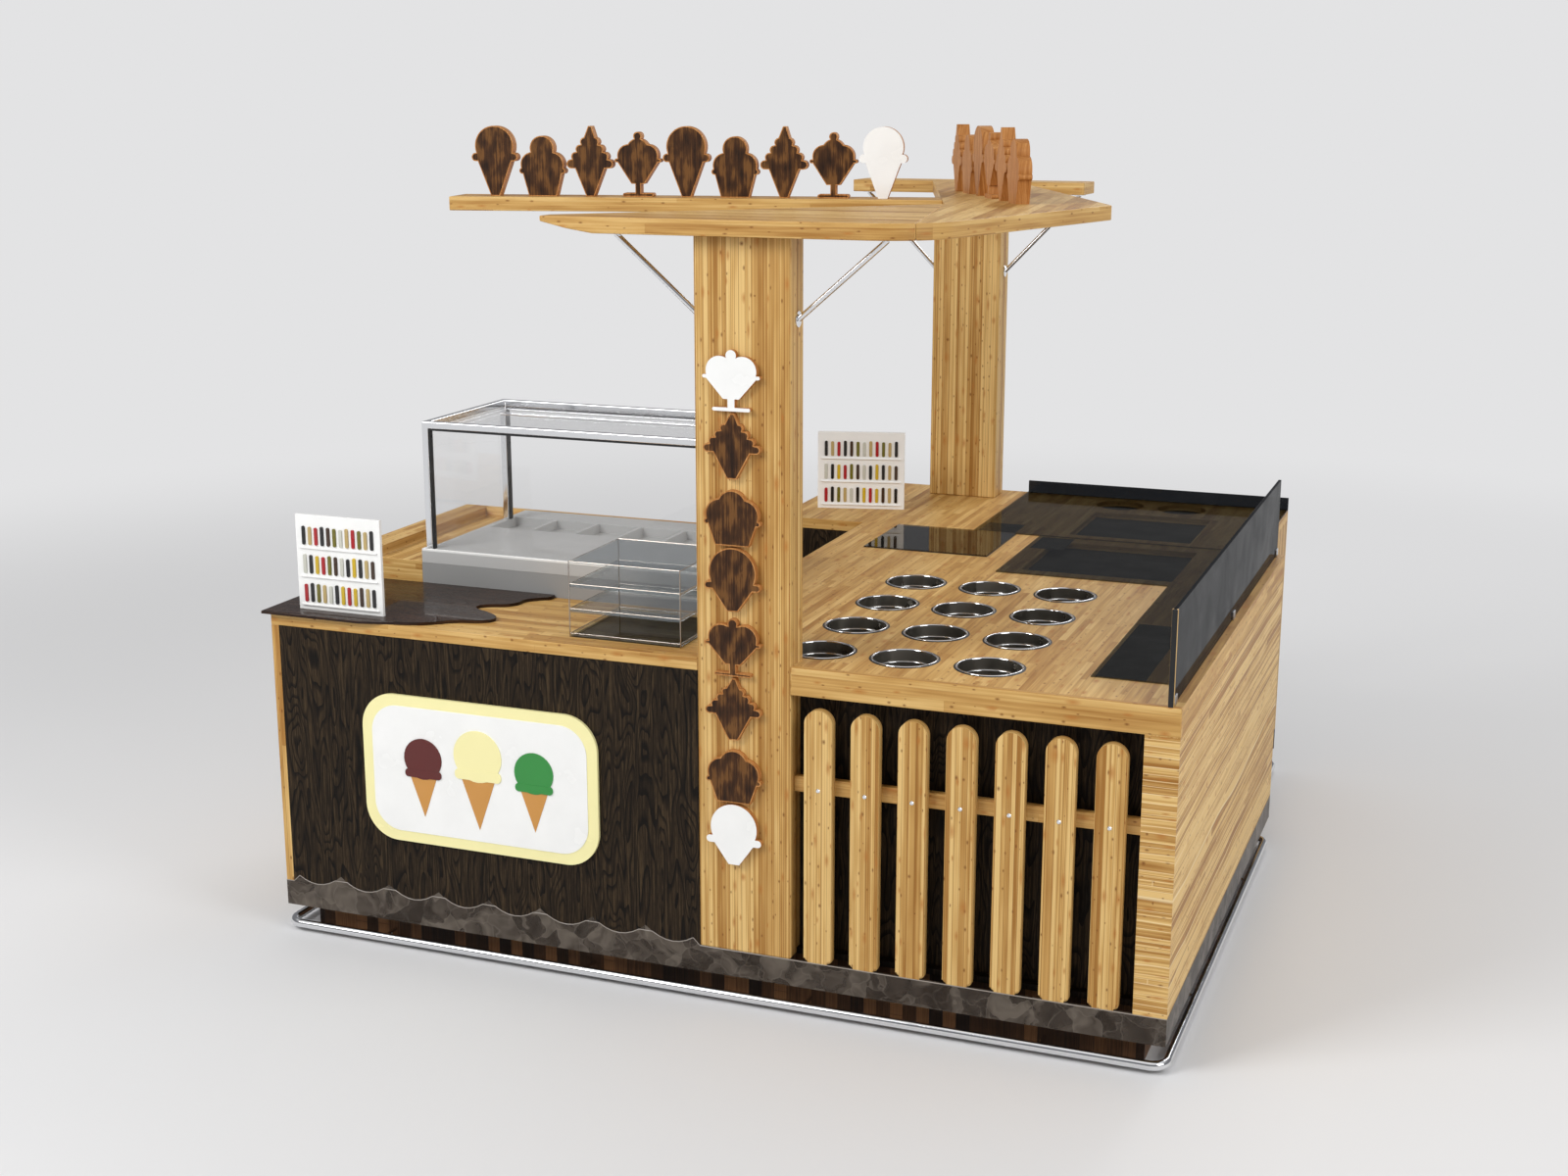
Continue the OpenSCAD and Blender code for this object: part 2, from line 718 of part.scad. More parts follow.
module side_glass_top() placed() color(colour_dark_glass)
    translate([0, 0, counter_h]) linear_extrude(glass_t) polygon([
        [glass_x1 - side_glass_w, side_glass_y0], [glass_x1, side_glass_y0],
        [glass_x1, right_d], [wide_glass_x0, right_d],
        [wide_glass_x0, wide_glass_y0], [glass_x1 - side_glass_w, wide_glass_y0]]);

module cooking_plate() placed() color(colour_dark_glass)
    block([hob_x0, right_d - hob_d, counter_h], [hob_x0 + hob_w, right_d, counter_h + glass_t]);

module side_guard() placed() color(colour_dark_glass)
    block([kiosk_w - guard_inset - guard_t, 0, counter_h],
          [kiosk_w - guard_inset, right_d, counter_h + guard_h]);

module back_counter_top() placed() color(colour_bamboo) difference() {
    block([back_x0, right_d, top_z], [side_wall_x, back_y1, counter_h]);
    block([back_glass_x0 + pocket_x, right_d + pocket_gap, counter_h - pocket_depth],
          [back_glass_x0 + pocket_x + pocket_w, right_d + pocket_gap + pocket_w,
           counter_h + over_cut]);
    for (i = [0, 1])
        translate([back_glass_x0 + round_pocket_x + i * round_pocket_pitch,
                   back_y1 - round_pocket_back, counter_h - pocket_depth])
            cylinder(h = pocket_depth + over_cut, d = round_pocket_dia);
}

module back_glass_top() placed() color(colour_dark_glass)
    block([back_glass_x0, right_d, counter_h],
          [side_wall_x, back_y1 - guard_t, counter_h + glass_t]);

module back_guard() placed() color(colour_dark_glass)
    block([back_glass_x0, back_y1 - guard_t, counter_h],
          [side_wall_x, back_y1, counter_h + back_guard_h]);

module back_front_panel() placed() color(colour_wenge)
    block([back_x0, right_d, plinth_h], [aisle_x, right_d + panel_t, top_z]);

module back_end_panels() placed() color(colour_bamboo) {
    block([back_x0, right_d + panel_t, plinth_h], [back_x0 + panel_t, back_y1, top_z]);
    block([side_wall_x - panel_t, right_d, plinth_h], [side_wall_x, back_y1, top_z]);
}

module back_rear_panel() placed() color(colour_wenge)
    block([back_x0 + panel_t, back_y1 - panel_t, plinth_h],
          [side_wall_x - panel_t, back_y1, top_z]);

module front_column() placed() color(colour_bamboo)
    block([column_x, 0, plinth_h], [column_x1, column_d, canopy_z]);

module rear_column() placed() color(colour_bamboo)
    block([rear_column_x, rear_column_y, counter_h], [rear_column_x1, rear_column_y1, canopy_z]);

// A strut from a column side at x, leaning out by run (negative to the left) up to the canopy.
module strut(x, y, run, drop) {
    side = sign(run);
    low = [x + side * strut_foot_t, y, canopy_z - drop];
    high = [x + run, y, canopy_z - strut_foot_t];
    span = high - low;
    union() {
        translate([x, y, canopy_z - drop]) rotate([0, side * 90, 0])
            cylinder(h = strut_foot_t, d = strut_foot_dia);
        translate([x + run, y, canopy_z - strut_foot_t])
            cylinder(h = strut_foot_t, d = strut_foot_dia);
        translate(low) rotate([0, atan2(span[0], span[2]), 0])
            cylinder(h = norm(span), d = strut_dia);
    }
}

module canopy_struts() placed() color(colour_chrome) {
    y = column_d / 2;
    rear_y = rear_column_y + rear_column_d / 2;
    strut(column_x, y, -strut_run, strut_drop);
    strut(column_x1, y, strut_run, strut_drop);
    strut(rear_column_x, rear_y, -rear_strut_run, rear_strut_drop);
    strut(rear_column_x1, rear_y, rear_strut_run, rear_strut_drop);
}

module canopy_board(outline) {
    translate([0, 0, canopy_z]) linear_extrude(canopy_t) polygon(outline);
}

module canopy_front_wing() placed() color(colour_bamboo) difference() {
    canopy_board(concat([wing_tip], [for (i = [0 : corner_steps / 2]) near_arc[i]],
                        [inner_corner, wing_tip + [0, wing_tip_d]]));
    rise = canopy_t - wing_tip_t;
    upright(-wing_front - over_cut, wing_tip_d + inner_corner_y) polygon([
        [wing_x0 - over_cut, canopy_z - over_cut], [wing_x0 + wing_taper_l, canopy_z - over_cut],
        [wing_x0 + wing_taper_l, canopy_z], [wing_x0 + wing_taper_l / 2, canopy_z + 0.4 * rise],
        [wing_x0, canopy_z + rise], [wing_x0 - over_cut, canopy_z + rise]]);
}

module canopy_side_board() placed() color(colour_bamboo) canopy_board(concat(
    [for (i = [corner_steps / 2 : corner_steps]) near_arc[i]],
    [side_tip, side_outer_end, side_inner_end, inner_corner]));

module canopy_sign_bar() placed() color(colour_bamboo) canopy_board([
    bar_front, meet(bar_front, bar_dir, inner_corner, side_inner_end - inner_corner),
    meet(bar_back, bar_dir, inner_corner, side_inner_end - inner_corner), bar_back]);

module canopy_rear_board() placed() color(colour_bamboo) canopy_board([
    [rear_board_x0, rear_board_y0], [rear_board_x0 + rear_board_l, rear_board_y0],
    [rear_board_x0 + rear_board_l, canopy_back], [rear_board_x0, canopy_back]]);

// A bar with round ends, w long and h high, standing on y = 0.
module pill(w, h) {
    translate([-(w - h) / 2, 0]) square([w - h, h]);
    for (side = [-1, 1]) translate([side * (w - h) / 2, h / 2]) circle(d = h);
}

// The outline of a wafer cone with a cut tip: w wide at the top and h high.
module wafer(w, h) polygon([[-0.12 * w, 0], [0.12 * w, 0], [0.5 * w, h], [-0.5 * w, h]]);

// A cone with one round scoop and a rim.
module scoop_cone(w, h) {
    scoop_r = 0.42 * w;
    rim_h = 0.12 * h;
    wafer_h = h - 1.55 * scoop_r;
    wafer(0.8 * w, wafer_h);
    translate([0, wafer_h - rim_h / 2]) pill(w, rim_h);
    translate([0, h - scoop_r]) circle(r = scoop_r);
}

// A tub with three round scoops and a rim.
module scoop_tub(w, h) {
    scoop_r = 0.26 * w;
    tub_h = 0.42 * h;
    rim_h = 0.1 * h;
    polygon([[-0.3 * w, 0], [0.3 * w, 0], [0.44 * w, tub_h], [-0.44 * w, tub_h]]);
    translate([0, tub_h - rim_h / 2]) pill(w, rim_h);
    for (side = [-1, 1]) translate([side * 0.21 * w, tub_h + 0.5 * scoop_r]) circle(r = scoop_r);
    translate([0, h - scoop_r]) circle(r = scoop_r);
    translate([-0.2 * w, tub_h]) square([0.4 * w, h - tub_h - scoop_r]);
}

// A cone with a soft swirl: round bars that grow shorter upwards, with a tip.
module swirl_cone(w, h) {
    layers = 4;
    wafer_h = 0.45 * h;
    layer_h = 0.13 * h;
    wafer(0.7 * w, wafer_h);
    for (i = [0 : layers - 1])
        translate([0, wafer_h + (i - 0.5) * 0.8 * layer_h]) pill((1 - 0.2 * i) * w, layer_h);
    tip_z = wafer_h + (layers - 1) * 0.8 * layer_h;
    polygon([[-0.16 * w, tip_z], [0.16 * w, tip_z], [0.05 * w, h], [-0.02 * w, h]]);
}

// A stemmed glass with scoops and a cherry.
module sundae_glass(w, h) {
    foot_h = 0.06 * h;
    bowl_z = 0.2 * h;
    bowl_h = 0.36 * h;
    scoop_r = 0.24 * w;
    cherry_r = 0.09 * w;
    pill(0.66 * w, foot_h);
    translate([-0.06 * w, foot_h / 2]) square([0.12 * w, bowl_z]);
    polygon([[-0.14 * w, bowl_z], [0.14 * w, bowl_z], [0.46 * w, bowl_z + bowl_h],
             [-0.46 * w, bowl_z + bowl_h]]);
    translate([0, bowl_z + bowl_h - foot_h / 2]) pill(w, foot_h);
    for (side = [-1, 1])
        translate([side * 0.2 * w, bowl_z + bowl_h + 0.4 * scoop_r]) circle(r = scoop_r);
    translate([0, h - 1.5 * cherry_r - scoop_r]) circle(r = scoop_r);
    translate([0, h - cherry_r]) circle(r = cherry_r);
}

// One of the four ice cream shapes in turn.
module treat(i, w, h) {
    kind = i % 4;
    if (kind == 0) scoop_cone(w, h);
    else if (kind == 1) scoop_tub(w, 0.86 * h);
    else if (kind == 2) swirl_cone(w, h);
    else sundae_glass(w, 0.92 * h);
}

// A row of standing cut-outs along x from 0.
module sign_row(n, length, first) {
    pitch = length / n;
    for (i = [0 : n - 1])
        translate([(i + 0.5) * pitch, 0, 0]) upright(0, sign_t)
            treat(first + i, pitch - sign_gap, sign_h);
}

module roof_sign_front() placed() color(colour_walnut) {
    row_start = bar_front + sign_row_x * bar_dir + sign_row_y * bar_side;
    translate([row_start[0], row_start[1], canopy_top]) rotate([0, 0, bar_turn])
        sign_row(sign_n, sign_row_l, 0);
}

module roof_sign_side() placed() color(colour_walnut) {
    row_start = inner_corner + [side_sign_x, side_sign_y];
    translate([row_start[0], row_start[1], canopy_top]) rotate([0, 0, side_sign_turn])
        sign_row(side_sign_n, side_sign_l, 1);
}

module column_sign() placed() color(colour_walnut) {
    pitch = relief_h / relief_n;
    for (i = [0 : relief_n - 1])
        translate([column_x + relief_x, 0, relief_z0 + i * pitch])
            upright(-relief_t, relief_t) treat(i, relief_w, pitch - sign_gap);
}

module front_plaque() placed() color(colour_white) {
    r = plaque_r;
    translate([column_x / 2, 0, counter_h - plaque_drop]) upright(-plaque_t, plaque_t) union() {
        square([plaque_w, plaque_h - 2 * r], center = true);
        square([plaque_w - 2 * r, plaque_h], center = true);
        for (x = [-1, 1], y = [-1, 1])
            translate([x * (plaque_w / 2 - r), y * (plaque_h / 2 - r)]) circle(r = r);
    }
}

// Points of the drip's free edge, from the counter's front to behind its back edge.
drip_edge = [
    [330, -overlay_lip], [400, 4], [470, 10], [540, 38], [600, 96], [668, 112], [705, 138], [700, 176],
    [650, 214], [588, 240], [568, 274], [600, 304], [652, 320], [676, 356], [672, 398], [704, 432],
    [742, 458], [730, 500], [690, 540], [650, 600]];

module drip_overlay() placed() color(colour_wenge)
    translate([0, 0, counter_h]) linear_extrude(overlay_t) intersection() {
        polygon(concat([[-overlay_lip, -overlay_lip]], drip_edge, [[-overlay_lip, 600]]));
        translate([-overlay_lip, -overlay_lip]) square([column_x, left_d + overlay_lip]);
    }

// A white board on a small foot, w wide and h high, its front face on y = 0.
module flavour_board(w, h) {
    union() {
        cube([w, board_t, h]);
        translate([board_foot_inset, board_t, 0])
            cube([w - 2 * board_foot_inset, board_foot_d, board_t]);
    }
}

module flavour_board_left() placed() color(colour_white)
    translate([board_x, board_y, counter_h + overlay_t]) flavour_board(board_w, board_h);

module flavour_board_right() placed() color(colour_white)
    translate([back_x0 + right_board_x, right_d + right_board_y, counter_h])
        rotate([0, 0, right_board_turn]) flavour_board(right_board_w, board_h);

module clear_organizer() placed() color(colour_clear) {
    post = organizer_post;
    rise = (organizer_h - organizer_shelf_t) / organizer_tiers;
    translate([column_x - organizer_gap - organizer_w, organizer_y, counter_h]) union() {
        for (x = [0, organizer_w - post], y = [0, organizer_d - post])
            translate([x, y, 0]) cube([post, post, organizer_h]);
        for (i = [0 : organizer_tiers])
            translate([0, 0, i * rise]) cube([organizer_w, organizer_d, organizer_shelf_t]);
    }
}

plinth_left();
plinth_right();
plinth_back();
cabinet_floors();
ice_skirt_front();
ice_skirt_sides();
floor_rail();
rail_pins();
left_end_panel();
left_front_panel();
left_counter_top();
display_side_wall();
display_back_wall();
display_cabinet();
display_tray();
display_frame();
display_glass();
right_side_wall();
fence_back_panel();
fence_rail();
fence_pickets();
aisle_panel();
counter_front_edge();
counter_left_part();
counter_right_part();
counter_rear_part();
well_block_front();
well_block_rear();
topping_cups();
side_glass_top();
cooking_plate();
side_guard();
back_counter_top();
back_glass_top();
back_guard();
back_front_panel();
back_end_panels();
back_rear_panel();
front_column();
rear_column();
canopy_struts();
canopy_front_wing();
canopy_side_board();
canopy_sign_bar();
canopy_rear_board();
roof_sign_front();
roof_sign_side();
column_sign();
front_plaque();
drip_overlay();
flavour_board_left();
flavour_board_right();
clear_organizer();
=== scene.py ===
"""Dresses the packed ice cream kiosk: bamboo and dark veneer joinery, steel, chrome and smoked glass.

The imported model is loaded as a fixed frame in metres. Solids whose shape is right keep their mesh and get a
finish; the others are replaced by finer pieces that stand in the same space.
"""

import logging
import math
from dataclasses import dataclass
from enum import Enum
from functools import partial
from typing import Any, Callable, Iterable, Sequence

import bmesh
import bpy
from mathutils import Matrix, Vector

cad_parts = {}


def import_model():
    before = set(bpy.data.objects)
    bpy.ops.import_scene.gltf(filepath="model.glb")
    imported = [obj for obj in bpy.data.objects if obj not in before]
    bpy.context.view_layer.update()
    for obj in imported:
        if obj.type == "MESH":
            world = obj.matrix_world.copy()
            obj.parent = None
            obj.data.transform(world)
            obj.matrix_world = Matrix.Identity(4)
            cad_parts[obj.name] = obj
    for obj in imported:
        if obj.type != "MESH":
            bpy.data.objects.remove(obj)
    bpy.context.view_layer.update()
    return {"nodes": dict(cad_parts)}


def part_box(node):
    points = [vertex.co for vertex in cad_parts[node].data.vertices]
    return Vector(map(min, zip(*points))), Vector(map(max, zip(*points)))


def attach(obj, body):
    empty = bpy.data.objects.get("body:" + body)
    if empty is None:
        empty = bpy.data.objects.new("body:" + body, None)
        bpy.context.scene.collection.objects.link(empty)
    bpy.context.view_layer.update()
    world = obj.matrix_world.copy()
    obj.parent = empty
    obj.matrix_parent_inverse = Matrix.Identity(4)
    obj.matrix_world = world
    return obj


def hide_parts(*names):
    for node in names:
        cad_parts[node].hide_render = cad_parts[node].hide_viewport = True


Point2 = tuple[float, float]
Outline = list[Point2]
Finish = bpy.types.Material
Node = bpy.types.Node
Adder = Callable[..., Node]

MM = 0.001
BODY = "root"
TOUCH = 0.01 * MM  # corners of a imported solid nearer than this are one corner
FACING = 0.9  # cosine of the widest angle at which a face still looks a given way
BAR_TURN = 12.5  # turn of the canopy's sign bar in plan, in degrees
SAMPLE_LETTERS = "krobpyn"  # one letter for each of Finishes.samples, in their order
LOG = logging.getLogger("kiosk")


# ---------------------------------------------------------------- small helpers


def linear(hex_code: str) -> tuple[float, float, float, float]:
    """Turns an sRGB hex colour into the linear colour that a shader takes.

    Args:
        hex_code: The colour as #rrggbb.

    Returns:
        Red, green, blue and an alpha of one.
    """
    parts = [int(hex_code[i : i + 2], 16) / 255 for i in (1, 3, 5)]
    red, green, blue = (c / 12.92 if c <= 0.04045 else ((c + 0.055) / 1.055) ** 2.4 for c in parts)
    return red, green, blue, 1.0


def add_node(tree: bpy.types.NodeTree, kind: str, inputs: Sequence | dict = (), **settings: Any) -> Node:
    """Adds a node to a tree with its settings and links.

    Args:
        tree: The node tree.
        kind: The node's type name, without the word ShaderNode in front.
        inputs: What goes into its inputs, in order or by number or name: a socket, a node (its first output
            in use), a hex colour or a value.
        **settings: Attributes of the node. stops gives a colour ramp's positions and hex colours.

    Returns:
        The new node.
    """
    node = tree.nodes.new("ShaderNode" + kind)
    stops = settings.pop("stops", ())
    for name, value in settings.items():
        setattr(node, name, value)
    for index, (position, colour) in enumerate(stops):
        elements = node.color_ramp.elements
        element = elements[index] if index < len(elements) else elements.new(1.0)
        element.position, element.color = position, linear(colour)
    for key, value in inputs.items() if isinstance(inputs, dict) else enumerate(inputs):
        if isinstance(value, Node):
            value = next(socket for socket in value.outputs if socket.enabled)
        if isinstance(value, bpy.types.NodeSocket):
            tree.links.new(value, node.inputs[key])
        else:
            node.inputs[key].default_value = linear(value) if isinstance(value, str) else value
    return node


class Grain(Enum):
    """The way that the boards of a piece run, in the part's axes."""

    ACROSS = "x"
    DEEP = "y"
    UPRIGHT = "z"


# For each grain: the axis along the board and the one across it, on a front, a side and a lying face.
BOARD_AXES = {
    Grain.ACROSS: (("X", "Y", "X"), ("Z", "Z", "Y")),
    Grain.DEEP: (("X", "Y", "Y"), ("Z", "Z", "X")),
    Grain.UPRIGHT: (("Z", "Z", "X"), ("X", "Y", "Y")),
}
LYING = 0.7  # a face lies flat where its normal points up by more than this
ENDLESS = 1000.0  # metres: a pattern this long doesn't change along a board
UNEVEN_OVER = 3.3  # strips over which their widths change
SWAY = (500 * MM, 120 * MM)  # length and width of a sway in the boards' edges
NOISE_SWING = 0.25  # how far noise strays from its middle
SOFT = 0.3  # share of a joint's width over which it fades
NEXT_BOARD = 37.0  # shift of the noise from board to board


def board_plane(add: Adder, grain: Grain, turn: float = 0.0) -> tuple[Node, Node]:
    """Adds nodes that give each face its own place along and across the boards.

    Args:
        add: Adds a node.
        grain: The way the boards run.
        turn: Angle of the boards in plan, in radians.

    Returns:
        The nodes of the distances along and across the boards, in metres.
    """
    where = add("TexCoord").outputs
    place, normal = where["Object"], where["Normal"]
    if turn:
        place, normal = (
            add("VectorRotate", {"Vector": v, "Angle": -turn}, rotation_type="Z_AXIS")
            for v in (place, normal))
    at = add("SeparateXYZ", [place]).outputs
    size = add("VectorMath", [normal], operation="ABSOLUTE")
    facing = add("SeparateXYZ", [size]).outputs
    lying = add("Math", [facing["Z"], LYING], operation="GREATER_THAN")
    side = add("Math", [facing["X"], facing["Y"]], operation="GREATER_THAN")
    found = []
    for front_axis, side_axis, lying_axis in BOARD_AXES[grain]:
        upright = add("Mix", {0: side, 2: at[front_axis], 3: at[side_axis]})
        found.append(add("Mix", {0: lying, 2: upright, 3: at[lying_axis]}))
    return found[0], found[1]


def stretched_noise(add: Adder, along: Node, across: Node, long: float, wide: float, seed: Node | float = 0.0,
                    detail: float = 2.0, distortion: float = 0.0) -> Node:
    """Adds noise drawn out along the grain.

    Args:
        add: Adds a node.
        along: Distance along the grain.
        across: Distance across the grain.
        long: Length of a feature in metres.
        wide: Width of a feature in metres.
        seed: What sets one pattern apart from the next.
        detail: Octaves of finer noise.
        distortion: How much the noise bends.

    Returns:
        The noise, from zero to one.
    """
    place = [add("Math", [value, size], operation="DIVIDE")
             for value, size in ((along, long), (across, wide))]
    vector = add("CombineXYZ", [*place, seed])
    return add("TexNoise", {"Vector": vector, "Scale": 1.0, "Detail": detail, "Distortion": distortion})


@dataclass(frozen=True)
class BoardPattern:
    """What describes a surface glued up from strips.

    Attributes:
        along: Distance along the boards, in metres.
        across: Distance across them.
        strip: A random number for each strip.
        board: A random number for each board.
        joint: One on a joint, zero elsewhere.
    """

    along: Node
    across: Node
    strip: Node
    board: Node
    joint: Node


def board_pattern(add: Adder, grain: Grain, strip: float, length: float, turn: float = 0.0,
                  uneven: float = 0.0, wave: float = 0.0, line: float = 1 * MM) -> BoardPattern:
    """Adds nodes that divide a face into staggered boards.

    Args:
        add: Adds a node.
        grain: The way the boards run.
        strip: Width of a board in metres.
        length: Length of a board in metres.
        turn: Angle of the boards in plan, in radians.
        uneven: How much the widths differ, as a share of the width.
        wave: How far the edges of the boards sway, in metres.
        line: Width of a joint in metres. A real one, 0.3 mm wide, would be too fine to show.

    Returns:
        The pattern.
    """
    along, across = board_plane(add, grain, turn)
    if uneven:
        sway = stretched_noise(add, along, across, ENDLESS, UNEVEN_OVER * strip, detail=1.0)
        sway = add("Math", [sway, 0.5], operation="SUBTRACT")
        across = add("Math", [sway, 2 * UNEVEN_OVER * uneven * strip, across], operation="MULTIPLY_ADD")
    if wave:
        sway = stretched_noise(add, along, across, *SWAY, seed=4.0, detail=1.0)
        across = add("Math", [sway, wave / NOISE_SWING, across], operation="MULTIPLY_ADD")
    rows = add("Math", [across, strip], operation="DIVIDE")
    row = add("Math", [rows], operation="FLOOR")
    row_chance = add("TexWhiteNoise", {"W": row}, noise_dimensions="1D")
    spans = add("Math", [along, length], operation="DIVIDE")
    spans = add("Math", [spans, row_chance], operation="ADD")
    span = add("Math", [spans], operation="FLOOR")
    chance = add("TexWhiteNoise", {"Vector": add("CombineXYZ", [row, span])}, noise_dimensions="2D")
    joints = []
    for count, size in ((rows, strip), (spans, length)):
        share = add("Math", [count], operation="FRACT")
        from_middle = add("Math", [share, 0.5], operation="SUBTRACT")
        from_middle = add("Math", [from_middle], operation="ABSOLUTE")
        edge, fade = 0.5 - 0.5 * line / size, SOFT * line / size
        joints.append(add("MapRange", [from_middle, edge - fade, edge + fade]))
    return BoardPattern(along, across, row_chance, chance, add("Math", joints, operation="MAXIMUM"))


def seen_rays(add: Adder) -> Node:
    """Adds nodes that tell rays which show a picture, direct or mirrored, from those that carry light.

    Args:
        add: Adds a node.

    Returns:
        One for a ray that shows a picture, and zero for others.
    """
    path = add("LightPath").outputs
    seen = add("Math", [path["Is Camera Ray"], path["Is Glossy Ray"]], operation="MAXIMUM")
    return add("Math", [seen, path["Is Transmission Ray"]], operation="MAXIMUM")


# ---------------------------------------------------------------- finishes
#
# A MapRange takes a value, the two ends that it comes from and the two ends that it goes to. A Mix of colours
# takes the amount at 0 and the colours at 6 and 7.


@dataclass(frozen=True)
class Surface:
    """What every finish has: a name, and a shader that becomes its material.

    Attributes:
        name: The material's name.
    """

    name: str

    def shader(self, add: Adder) -> Node:
        """Adds the nodes of the finish.

        Args:
            add: Adds a node.

        Returns:
            The shader node.
        """
        raise NotImplementedError

    def build(self) -> Finish:
        """Makes the material.

        Returns:
            The material.
        """
        material = bpy.data.materials.new(self.name)
        material.use_nodes = True
        material.node_tree.nodes.clear()
        add = partial(add_node, material.node_tree)
        add("OutputMaterial", [self.shader(add)])
        return material


@dataclass(frozen=True)
class Spots:
    """Small dark marks scattered over wood, at most one in each cell of a grid.

    Attributes:
        tint: Their colour.
        length: Length of a cell along the grain.
        width: Width of a cell.
        least: Radius of the smallest mark, as a share of its cell.
        most: Radius of the largest.
        strength: How much of the tint a mark shows.
        seed: What sets one kind of mark apart from another.
        empty: Share of the cells without a mark.
        core: Share of the smallest radius at full strength.
    """

    tint: str
    length: float
    width: float
    least: float
    most: float
    strength: float
    seed: float = 0.0
    empty: float = 0.36
    core: float = 0.3

    def over(self, add: Adder, colour: Node, along: Node, across: Node) -> Node:
        """Adds nodes that lay the marks over a colour.

        Args:
            add: Adds a node.
            colour: The wood's colour.
            along: Distance along the grain.
            across: Distance across the grain.

        Returns:
            The colour with the marks.
        """
        cells = add("CombineXYZ", [
            add("Math", [along, 1 / self.length, self.seed], operation="MULTIPLY_ADD"),
            add("Math", [across, 1 / self.width], operation="MULTIPLY")])
        marks = add("TexVoronoi", {"Vector": cells, "Scale": 1.0}, voronoi_dimensions="2D").outputs
        chance = add("SeparateColor", [marks["Color"]]).outputs
        reach = add("MapRange", {0: chance["Green"], 3: self.least, 4: self.most})
        near = add("MapRange", [marks["Distance"], self.core * self.least, reach, 1.0, 0.0])
        chosen = add("Math", [chance["Red"], self.empty], operation="GREATER_THAN")
        amount = add("Math", [near, chosen], operation="MULTIPLY")
        amount = add("Math", [amount, self.strength], operation="MULTIPLY")
        return add("Mix", {0: amount, 6: colour, 7: self.tint}, data_type="RGBA")


@dataclass(frozen=True)
class Bamboo(Surface):
    """Laminated bamboo, sanded and sealed with a satin lacquer.

    To the eye it is a warm honey wood of narrow straight strips, each a little lighter or darker than the
    next, with soft streaks, small dark pips, orange-brown knuckle marks and a soft sheen.

    Attributes:
        grain: The way its boards run.
        turn: Angle of the boards in plan, in radians.
        strip: Width of a strip.
        board: Length of a board.
        uneven: How much the strips' widths differ.
        wave: How far their edges sway.
        line: Width of a joint.
        streak: Width of a streak.
        streak_length: Length of a streak.
        streak_share: How much the streaks change the tone.
        board_share: How much it changes from board to board.
        cloud_share: How much it changes within a board.
        joint_share: How much of its tint a joint shows.
        joint_tint: Colour of the joints.
        light: Colour of the lightest wood.
        middle: Colour of most of the wood.
        dark: Colour of the darkest wood.
        light_at: How far above the mean tone the lightest wood lies.
        dark_at: How far below it the darkest wood lies.
        spots: Pips 3 mm by 8 mm and knuckles 6 mm by 18 mm, one or two in each hand's breadth.
    """

    grain: Grain
    turn: float = 0.0
    strip: float = 22 * MM
    board: float = 420 * MM
    uneven: float = 0.25
    wave: float = 0.0
    line: float = 1 * MM
    streak: float = 7 * MM
    streak_length: float = 260 * MM
    streak_share: float = 0.5
    board_share: float = 0.34
    cloud_share: float = 0.42
    joint_share: float = 0.3
    joint_tint: str = "#86581f"
    light: str = "#e0bc7a"
    middle: str = "#c59a57"
    dark: str = "#9c6a2a"
    light_at: float = 0.22
    dark_at: float = 0.23
    spots: tuple[Spots, ...] = (Spots("#74400f", 62 * MM, 30 * MM, 0.05, 0.15, 0.9),
                                Spots("#b06f2c", 120 * MM, 40 * MM, 0.08, 0.26, 0.7, seed=5.3))

    def shader(self, add: Adder) -> Node:
        """Adds the nodes of the finish.

        Args:
            add: Adds a node.

        Returns:
            The shader node.
        """
        boards = board_pattern(add, self.grain, self.strip, self.board, self.turn, self.uneven, self.wave,
                               self.line)
        place = boards.along, boards.across
        shift = add("Math", [boards.board, NEXT_BOARD], operation="MULTIPLY")
        streaks = stretched_noise(add, *place, self.streak_length, self.streak, detail=3.0)
        cloud = stretched_noise(add, *place, 260 * MM, 34 * MM, shift)
        tone = add("Math", [boards.board, self.board_share], operation="MULTIPLY")
        tone = add("Math", [streaks, self.streak_share, tone], operation="MULTIPLY_ADD")
        tone = add("Math", [cloud, self.cloud_share, tone], operation="MULTIPLY_ADD")
        mean = 0.5 * (self.board_share + self.streak_share + self.cloud_share)
        colour = add("ValToRGB", [tone], stops=[
            (mean - self.dark_at, self.dark), (mean, self.middle), (mean + self.light_at, self.light)])
        for spots in self.spots:
            colour = spots.over(add, colour, *place)
        amount = add("Math", [boards.joint, self.joint_share], operation="MULTIPLY")
        colour = add("Mix", {0: amount, 6: colour, 7: self.joint_tint}, data_type="RGBA")
        height = add("Math", [boards.joint, -1.0, streaks], operation="MULTIPLY_ADD")
        return add("BsdfPrincipled", {
            "Base Color": colour,
            "Roughness": add("MapRange", [streaks, 0.2, 0.8, 0.42, 0.58]),
            "Normal": add("Bump", {"Height": height, "Strength": 0.2, "Distance": 0.4 * MM}),
            "IOR": 1.5, "Specular IOR Level": 0.3, "Coat Weight": 0.06, "Coat Roughness": 0.2})


